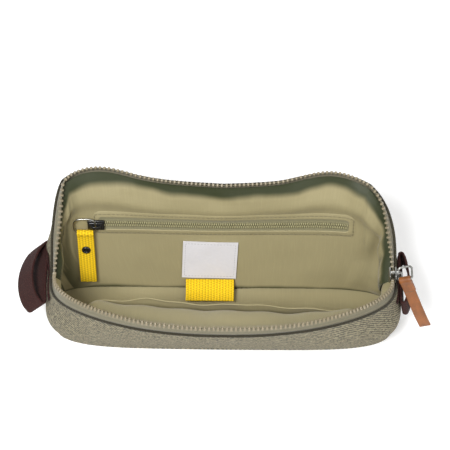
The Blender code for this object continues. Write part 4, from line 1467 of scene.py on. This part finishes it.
class BAG_OT_label(bpy.types.Operator):
    """Stitches the blank woven label on, with its yellow tab below"""

    bl_idname = "bag.label"
    bl_label = "Label and tab"

    def execute(self, context):
        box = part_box("label_patch")
        _, up, inward = wall_axes(1)
        low = (Vector((0, box[0][1], box[0][2])) - Vector((0, REAR_HINGE.y, REAR_HINGE.z))).dot(up) + 0.0016
        width = box[1][0] - box[0][0]
        high = LABEL_HEIGHT
        middle = (box[0][0] + box[1][0]) / 2
        columns, rows = 44, 36
        grid = np.zeros((rows + 1, columns + 1, 3))
        uvs = np.zeros((rows + 1, columns + 1, 2))
        for i in range(rows + 1):
            for j in range(columns + 1):
                x = (j / columns - 0.5) * width
                v = i / rows * high
                turn = -0.045
                spot_x = middle + x * math.cos(turn) - (v - high / 2) * math.sin(turn)
                spot_v = low + high / 2 + x * math.sin(turn) * 0.6 + (v - high / 2)
                lift = 0.0006 + 0.0005 * max(0.0, fold_field(Vector((x, v, 0.0)), (0.02, 0.02, 1.0), 9.0))
                grid[i, j] = wall_spot(1, spot_x, spot_v, lift)[:]
                uvs[i, j] = (x, v)
        piece = grid_piece("label_cloth", grid, uvs)
        flip_if_needed(piece, -1)
        thicken(piece, 0.0007, 1.0)
        smoothed(piece, 50.0)
        dressed(piece, "label")
        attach(piece, "rear_wall")
        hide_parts("label_patch")
        cloth(piece, (width, high), "laid", "rear_lining")
        inset_x, inset_y = 2, 2
        edge = [grid[inset_y, j] for j in range(inset_x, columns - inset_x + 1)]
        edge += [grid[i, columns - inset_x] for i in range(inset_y, rows - inset_y + 1)]
        edge += [grid[rows - inset_y, j] for j in range(columns - inset_x, inset_x - 1, -1)]
        edge += [grid[i, inset_x] for i in range(rows - inset_y, inset_y - 1, -1)]
        line = [Vector(p) + inward * 0.0007 for p in edge]
        frames = stitch_frames(line, 0.0024, inward)
        size = (0.0016, 0.00034, 0.00034)
        stitches = sewn("label_stitches", size, frames, "label_thread")
        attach(stitches, "rear_wall")
        self.tab()
        return {"FINISHED"}

    def tab(self):
        """Wide webbing, folded in two, that curls out from the label's lower edge over the bottom."""
        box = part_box("label_tab")
        hinge = Vector(JOINTS["label_tab_hinge"]["pos_m"])
        _, up, inward = wall_axes(1)
        start, end, reach = math.radians(25), math.radians(82), 0.0172
        radius = reach / (end - start)
        line = []
        for i in range(25):
            turn = start + (end - start) * i / 24
            line.append(
                hinge + inward * (radius * (math.cos(start) - math.cos(turn)) + 0.0004)
                - up * (radius * (math.sin(turn) - math.sin(start)) - 0.0006)
            )
        width = box[1][0] - box[0][0]
        side = Vector((1, 0, 0))
        piece = strip("label_tab_webbing", line, side, width, YELLOW_THICK, "yellow_webbing", columns=20)
        cloth(piece, (width, piece["run"]), "hung", "label_patch")
        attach(piece, "label_tab")
        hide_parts("label_tab")


# Pulls


class BAG_OT_pocket_pull(bpy.types.Operator):
    """Makes the pocket's black slider, its wire ring and the yellow webbing puller with its eyelet"""

    bl_idname = "bag.pocket_pull"
    bl_label = "Pocket pull"

    def execute(self, context):
        self.slider()
        self.ring()
        self.puller()
        return {"FINISHED"}

    def slider(self):
        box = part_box("pocket_slider")
        hinge = Vector(JOINTS["pocket_ring_hinge"]["pos_m"])
        side, up, inward = wall_axes(1)
        axes = (side, up, inward)
        place = hinge - inward * 0.0016
        body = rounded_block("pocket_slider_body", (0.0125, 0.0090, 0.0018), place, axes, 0.0007)
        place = hinge - inward * 0.0007
        crown = rounded_block("pocket_slider_crown", (0.0104, 0.0062, 0.0018), place, axes, 0.0007)
        half = (box[1][0] - box[0][0]) / 2
        line = [
            hinge + side * x + inward * z
            for x, z in (
                (-half * 0.62, -0.0012), (-half * 0.55, 0.0012), (-half * 0.2, 0.0020),
                (half * 0.2, 0.0020), (half * 0.55, 0.0012), (half * 0.62, -0.0012),
            )
        ]
        line = curve_through(line, 5)
        arch = strip("pocket_slider_bail", line, up, BAIL_WIDTH, 0.0009, "black_metal", columns=2)
        made = joined("pocket_slider_metal", [body, crown, arch])
        dressed(made, "black_metal")
        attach(made, "pocket_slider")
        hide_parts("pocket_slider")

    def ring(self):
        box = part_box("pocket_ring")
        hinge = Vector(JOINTS["pocket_ring_hinge"]["pos_m"])
        side, up, _ = wall_axes(1)
        half_x = (box[1][0] - box[0][0]) / 2 - 0.0006
        half_y = 0.0067
        centre = hinge - side * half_x
        line = rounded_loop(half_x, half_y, 0.0052, 9, centre, side, up)
        piece = bar("pocket_ring_wire", line, 0.00062, "silver")
        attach(piece, "pocket_ring")
        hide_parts("pocket_ring")

    def puller(self):
        hinge = Vector(JOINTS["pocket_puller_hinge"]["pos_m"])
        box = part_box("pocket_puller")
        side, up, inward = wall_axes(1)
        width = box[1][0] - box[0][0]
        length = (Vector((0, box[1][1], box[1][2])) - Vector((0, box[0][1], box[0][2]))).dot(up) - 0.003
        eye, half = 0.0018, 0.00078
        line = [(length, -half), (length * 0.7, -half), (length * 0.4, -half)]
        line += [(0.0055, -half), (0.0034, -half * 1.2)]
        for i in range(9):
            angle = -math.pi * 0.78 + math.pi * 1.56 * i / 8
            line.append((-eye * math.cos(angle), eye * math.sin(angle)))
        line += [(0.0034, half * 1.2), (0.0055, half)]
        line += [(length * 0.4, half), (length * 0.7, half), (length, half)]
        spots = [hinge - up * a + inward * b for a, b in line]
        piece = strip("pocket_puller_webbing", spots, side, width, YELLOW_THICK, "yellow_webbing", columns=14)
        cloth(piece, (width, piece["run"]), "folded", "pocket_ring")
        eyelet_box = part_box("puller_eyelet")
        centre = (Vector(eyelet_box[0]) + Vector(eyelet_box[1])) / 2
        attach(piece, "pocket_puller")
        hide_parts("pocket_puller")
        rim = rounded_loop(0.0023, 0.0023, 0.0023, 7, centre + inward * 0.0001, side, up)
        eyelet = bar("puller_eyelet_rim", rim, 0.00105, "black_metal", 10)
        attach(eyelet, "pocket_puller")
        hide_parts("puller_eyelet")
        # painted shadow: a thin black disc behind the eyelet's hole, where shade falls
        place = centre - inward * 0.00045
        size = (0.0028, 0.0028, 0.0003)
        painted_eyelet_shadow = rounded_block("puller_eyelet_shadow", size, place, (side, up, inward), 0.0001)
        dressed(painted_eyelet_shadow, "black_metal")
        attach(painted_eyelet_shadow, "pocket_puller")


def rounded_block(name, size, centre, axes, radius, segments=3):
    """A box with round edges, along three axes."""
    clean_select()
    bpy.ops.mesh.primitive_cube_add(size=1.0)
    block = bpy.context.object
    block.name = name
    block.data.name = name
    block.scale = size
    settle(block)
    bpy.ops.object.mode_set(mode="EDIT")
    bpy.ops.mesh.select_all(action="SELECT")
    bpy.ops.mesh.bevel(offset=radius, segments=segments, affect="EDGES")
    bpy.ops.object.mode_set(mode="OBJECT")
    turn = Matrix(axes).transposed().to_4x4()
    block.data.transform(Matrix.Translation(centre) @ turn)
    smoothed(block, 40.0)
    return block


class BAG_OT_main_pull(bpy.types.Operator):
    """Makes the main slider, its square link and the folded leather pull"""

    bl_idname = "bag.main_pull"
    bl_label = "Main pull"

    def execute(self, context):
        self.slider()
        self.link()
        self.leather()
        return {"FINISHED"}

    def slider(self):
        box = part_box("main_slider")
        link = Vector(JOINTS["pull_link_hinge"]["pos_m"])
        wide = box[1][1] - box[0][1]
        tall = box[1][2] - box[0][2]
        centre = Vector(((box[0][0]) + 0.0025, 0.0, (box[0][2] + box[1][2]) / 2))
        axes = (Vector((1, 0, 0)), Vector((0, 1, 0)), Vector((0, 0, 1)))
        plate = (0.0011, wide, tall)
        apart = Vector((0.0021, 0, 0))
        inner = rounded_block("slider_inner_plate", plate, centre - apart, axes, 0.0005)
        outer = rounded_block("slider_outer_plate", plate, centre + apart, axes, 0.0005)
        post = rounded_block("slider_post", (0.0042, 0.0018, tall * 0.9), centre, axes, 0.0004)
        line = [
            Vector((link.x + a, 0.0, link.z + b))
            for a, b in (
                (-0.0022, -0.0033), (0.0008, -0.0031), (0.0019, -0.0018),
                (0.0019, 0.0018), (0.0008, 0.0031), (-0.0022, 0.0033),
            )
        ]
        line = curve_through(line, 5)
        arch = strip("slider_bail", line, Vector((0, 1, 0)), BAIL_WIDTH, 0.0010, "silver", columns=2)
        made = joined("main_slider_metal", [inner, outer, post, arch])
        dressed(made, "silver")
        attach(made, "main_slider")
        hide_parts("main_slider")

    def link(self):
        hinge = Vector(JOINTS["pull_link_hinge"]["pos_m"])
        along = -Vector(JOINTS["leather_pull_hinge"]["axis"]).normalized()
        across = Vector((0, -1, 0))
        half = 0.00525
        line = rounded_loop(half, half, 0.0021, 6, hinge + along * half, along, across)
        piece = bar("pull_link_bar", line, 0.00078, "silver", 12)
        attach(piece, "pull_link")
        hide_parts("pull_link")

    def leather(self):
        hinge = Vector(JOINTS["leather_pull_hinge"]["pos_m"])
        along = -Vector(JOINTS["leather_pull_hinge"]["axis"]).normalized()
        lean = math.radians(18)
        straight = Vector((along.z, 0.0, -along.x))
        down = Matrix.Rotation(-lean, 3, along) @ straight
        off = down.cross(along)
        eye, half = 0.0019, 0.00084
        length, short = LEATHER_LENGTH, LEATHER_FOLD
        line = [(short, -half), (short * 0.6, -half), (0.0050, -half), (0.0036, -half * 1.15)]
        for i in range(9):
            angle = -math.pi * 0.78 + math.pi * 1.56 * i / 8
            line.append((-eye * math.cos(angle), eye * math.sin(angle)))
        line += [(0.0036, half * 1.15), (0.0050, half)]
        for i in range(1, 15):
            share = i / 14
            line.append((mixed(0.0050, length, share), half + 0.0016 * math.sin(math.pi * share) * share))
        spots = [hinge + down * a + off * b for a, b in line]
        size = (LEATHER_WIDTH, LEATHER_THICK)
        piece = strip("leather_pull_strap", spots, along, *size, "leather", columns=8, round_edge=0.35)
        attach(piece, "leather_pull")
        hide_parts("leather_pull")
        frames = []
        for i in range(5):
            place = hinge + down * 0.0105 + off * (half + 0.0009) + along * (0.0013 * (i - 2))
            frames.append((place, along, off.cross(along), off))
        stitches = sewn("leather_stitches", (0.0010, 0.00040, 0.0004), frames, "dark_thread")
        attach(stitches, "leather_pull")


# Webbing loops on the ends


class BAG_OT_loops(bpy.types.Operator):
    """Sews the brown webbing loops on the two ends"""

    bl_idname = "bag.loops"
    bl_label = "End loops"

    def execute(self, context):
        self.loop(-1, "left", 0.0070, 0.0012, math.radians(38), 0.0030, 0.0075, 0.0240)
        self.loop(1, "right", 0.0030, 0.0, math.radians(10), 0.0020, 0.0060, 0.0190)
        return {"FINISHED"}

    def loop(self, side, word, bow, inner_bow, tilt, shift, middle_y, half):
        hinge = Vector(JOINTS[f"{word}_loop_hinge"]["pos_m"])
        down = Vector((side * math.sin(tilt), 0.0, -math.cos(tilt)))
        out = Vector((side, 0.0, 0.0))
        width = LOOP_WIDTH
        turn = LOOP_THICK
        line = []
        count = 24
        for i in range(count + 1):
            y = half * (2 * i / count - 1)
            line.append((y, inner_bow * math.cos(math.pi / 2 * y / half)))
        for i in range(1, 7):
            angle = math.pi * i / 7
            line.append((half + turn * math.sin(angle), turn * (1 - math.cos(angle))))
        for i in range(1, count):
            y = half * (1 - 2 * i / count)
            line.append((y, 2 * turn + (bow + inner_bow) * math.cos(math.pi / 2 * y / half) ** 0.65))
        for i in range(1, 7):
            angle = math.pi * i / 7
            line.append((-half - turn * math.sin(angle), turn * (1 + math.cos(angle))))
        start = hinge + Vector((-side * shift, middle_y - hinge.y, 0.0)) + down * (width / 2) + out * 0.0014
        spots = [start + Vector((0, 1, 0)) * y + out * o for y, o in line]
        name = f"{word}_loop_webbing"
        piece = strip(name, spots, down, width, LOOP_THICK, "brown_webbing", closed=True, columns=12)
        cloth(piece, (width, piece["run"]), "folded", f"{word}_loop_anchor")
        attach(piece, f"{word}_loop")
        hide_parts(f"{word}_loop")
        self.anchor(side, word)

    def anchor(self, side, word):
        """A short webbing hem sewn flat to the end, which holds the loop."""
        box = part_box(f"{word}_loop_anchor")
        rows = np.linspace(box[0][2], box[1][2] + 0.001, 4)
        ys = np.linspace(box[0][1] * 0.8, box[1][1] * 0.8, 20)
        grid = np.zeros((4, 20, 3))
        for i, z in enumerate(rows):
            for j, y in enumerate(ys):
                outline = Outline(-1 if y < 0 else 1)
                _, x, line_y, _ = outline.loop(z)
                half = slice(None, len(x) // 2) if side < 0 else slice(len(x) // 2, None)
                order = np.argsort(np.abs(line_y[half]))
                here = np.interp(abs(y), np.abs(line_y[half])[order], x[half][order])
                grid[i, j] = (here + side * 0.0004, y, z)
        piece = grid_piece(f"{word}_loop_hem", grid, uv_grid(ys, rows))
        total = sum(face.normal.x * face.area for face in piece.data.polygons)
        if total * side < 0:
            piece.data.flip_normals()
        thicken(piece, 0.0009, 1.0)
        smoothed(piece)
        dressed(piece, "brown_webbing")
        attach(piece, "base")
        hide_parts(f"{word}_loop_anchor")


# Stage


class BAG_OT_stage(bpy.types.Operator):
    """Sets the pale floor, the soft lights and the camera"""

    bl_idname = "bag.stage"
    bl_label = "Stage"

    def execute(self, context):
        scene = context.scene
        world = bpy.data.worlds.new("studio")
        world.use_nodes = True
        world.node_tree.nodes["Background"].inputs["Color"].default_value = (1.0, 1.0, 1.0, 1.0)
        world.node_tree.nodes["Background"].inputs["Strength"].default_value = 0.30
        scene.world = world
        scene.view_settings.view_transform = "Standard"
        clean_select()
        bpy.ops.mesh.primitive_plane_add(size=6.0, location=(0.0, 0.0, -0.0006))
        floor = bpy.context.object
        floor.name = "floor"
        made = Finish("floor_paper")
        made.colour((0.92, 0.92, 0.92)).shine(roughness=0.9, specular=0.1)
        made.shader.inputs["Emission Color"].default_value = (1.0, 1.0, 1.0, 1.0)
        made.shader.inputs["Emission Strength"].default_value = 0.18
        floor.data.materials.append(made.material)
        self.light("key", (-0.45, -0.75, 1.5), 0.6, 30.0)
        self.light("fill", (0.9, -0.7, 1.2), 1.0, 9.0)
        self.light("back", (0.1, 1.2, 1.3), 1.0, 8.0)
        self.camera(scene)
        return {"FINISHED"}

    def light(self, name, place, size, power):
        data = bpy.data.lights.new(name, "AREA")
        data.shape = "DISK"
        data.size = size
        data.energy = power
        lamp = bpy.data.objects.new(name, data)
        bpy.context.scene.collection.objects.link(lamp)
        lamp.location = place
        aim = Vector((0.0, 0.0, 0.05)) - Vector(place)
        lamp.rotation_euler = aim.to_track_quat("-Z", "Y").to_euler()

    def camera(self, scene):
        elevation = math.radians(CAMERA_ELEVATION)
        azimuth = math.radians(CAMERA_AZIMUTH)
        target = Vector(CAMERA_TARGET)
        away = Vector((
            math.sin(azimuth) * math.cos(elevation),
            -math.cos(azimuth) * math.cos(elevation),
            math.sin(elevation),
        ))
        data = bpy.data.cameras.new("camera")
        data.sensor_width = 36.0
        data.lens = CAMERA_LENS
        camera = bpy.data.objects.new("camera", data)
        scene.collection.objects.link(camera)
        camera.location = target + away * CAMERA_DISTANCE
        turn = (-away).to_track_quat("-Z", "Y")
        roll = Matrix.Rotation(math.radians(CAMERA_ROLL), 3, "Z").to_quaternion()
        camera.rotation_euler = (turn @ roll).to_euler()
        scene.camera = camera


class BAG_PT_panel(bpy.types.Panel):
    bl_label = "Toiletry bag"
    bl_idname = "BAG_PT_panel"
    bl_space_type = "VIEW_3D"
    bl_region_type = "UI"
    bl_category = "Bag"

    def draw(self, context):
        layout = self.layout
        for group in (context.scene.bag_sizes, context.scene.bag_colours):
            for name in group.bl_rna.properties.keys():
                if name not in ("rna_type", "name"):
                    layout.prop(group, name)
        for operator in OPERATORS:
            layout.operator(operator.bl_idname)


OPERATORS = (
    BAG_OT_canvas,
    BAG_OT_lining,
    BAG_OT_main_zip,
    BAG_OT_slip_pocket,
    BAG_OT_zip_pocket,
    BAG_OT_label,
    BAG_OT_pocket_pull,
    BAG_OT_main_pull,
    BAG_OT_loops,
    BAG_OT_stage,
)
CLASSES = (BagSizes, BagColours, *OPERATORS, BAG_PT_panel)


def register():
    for made in CLASSES:
        bpy.utils.register_class(made)
    bpy.types.Scene.bag_sizes = PointerProperty(type=BagSizes)
    bpy.types.Scene.bag_colours = PointerProperty(type=BagColours)


def unregister():
    del bpy.types.Scene.bag_sizes
    del bpy.types.Scene.bag_colours
    for made in reversed(CLASSES):
        bpy.utils.unregister_class(made)


def main():
    register()
    for operator in OPERATORS:
        family, name = operator.bl_idname.split(".")
        getattr(getattr(bpy.ops, family), name)()


if __name__ == "__main__":
    main()
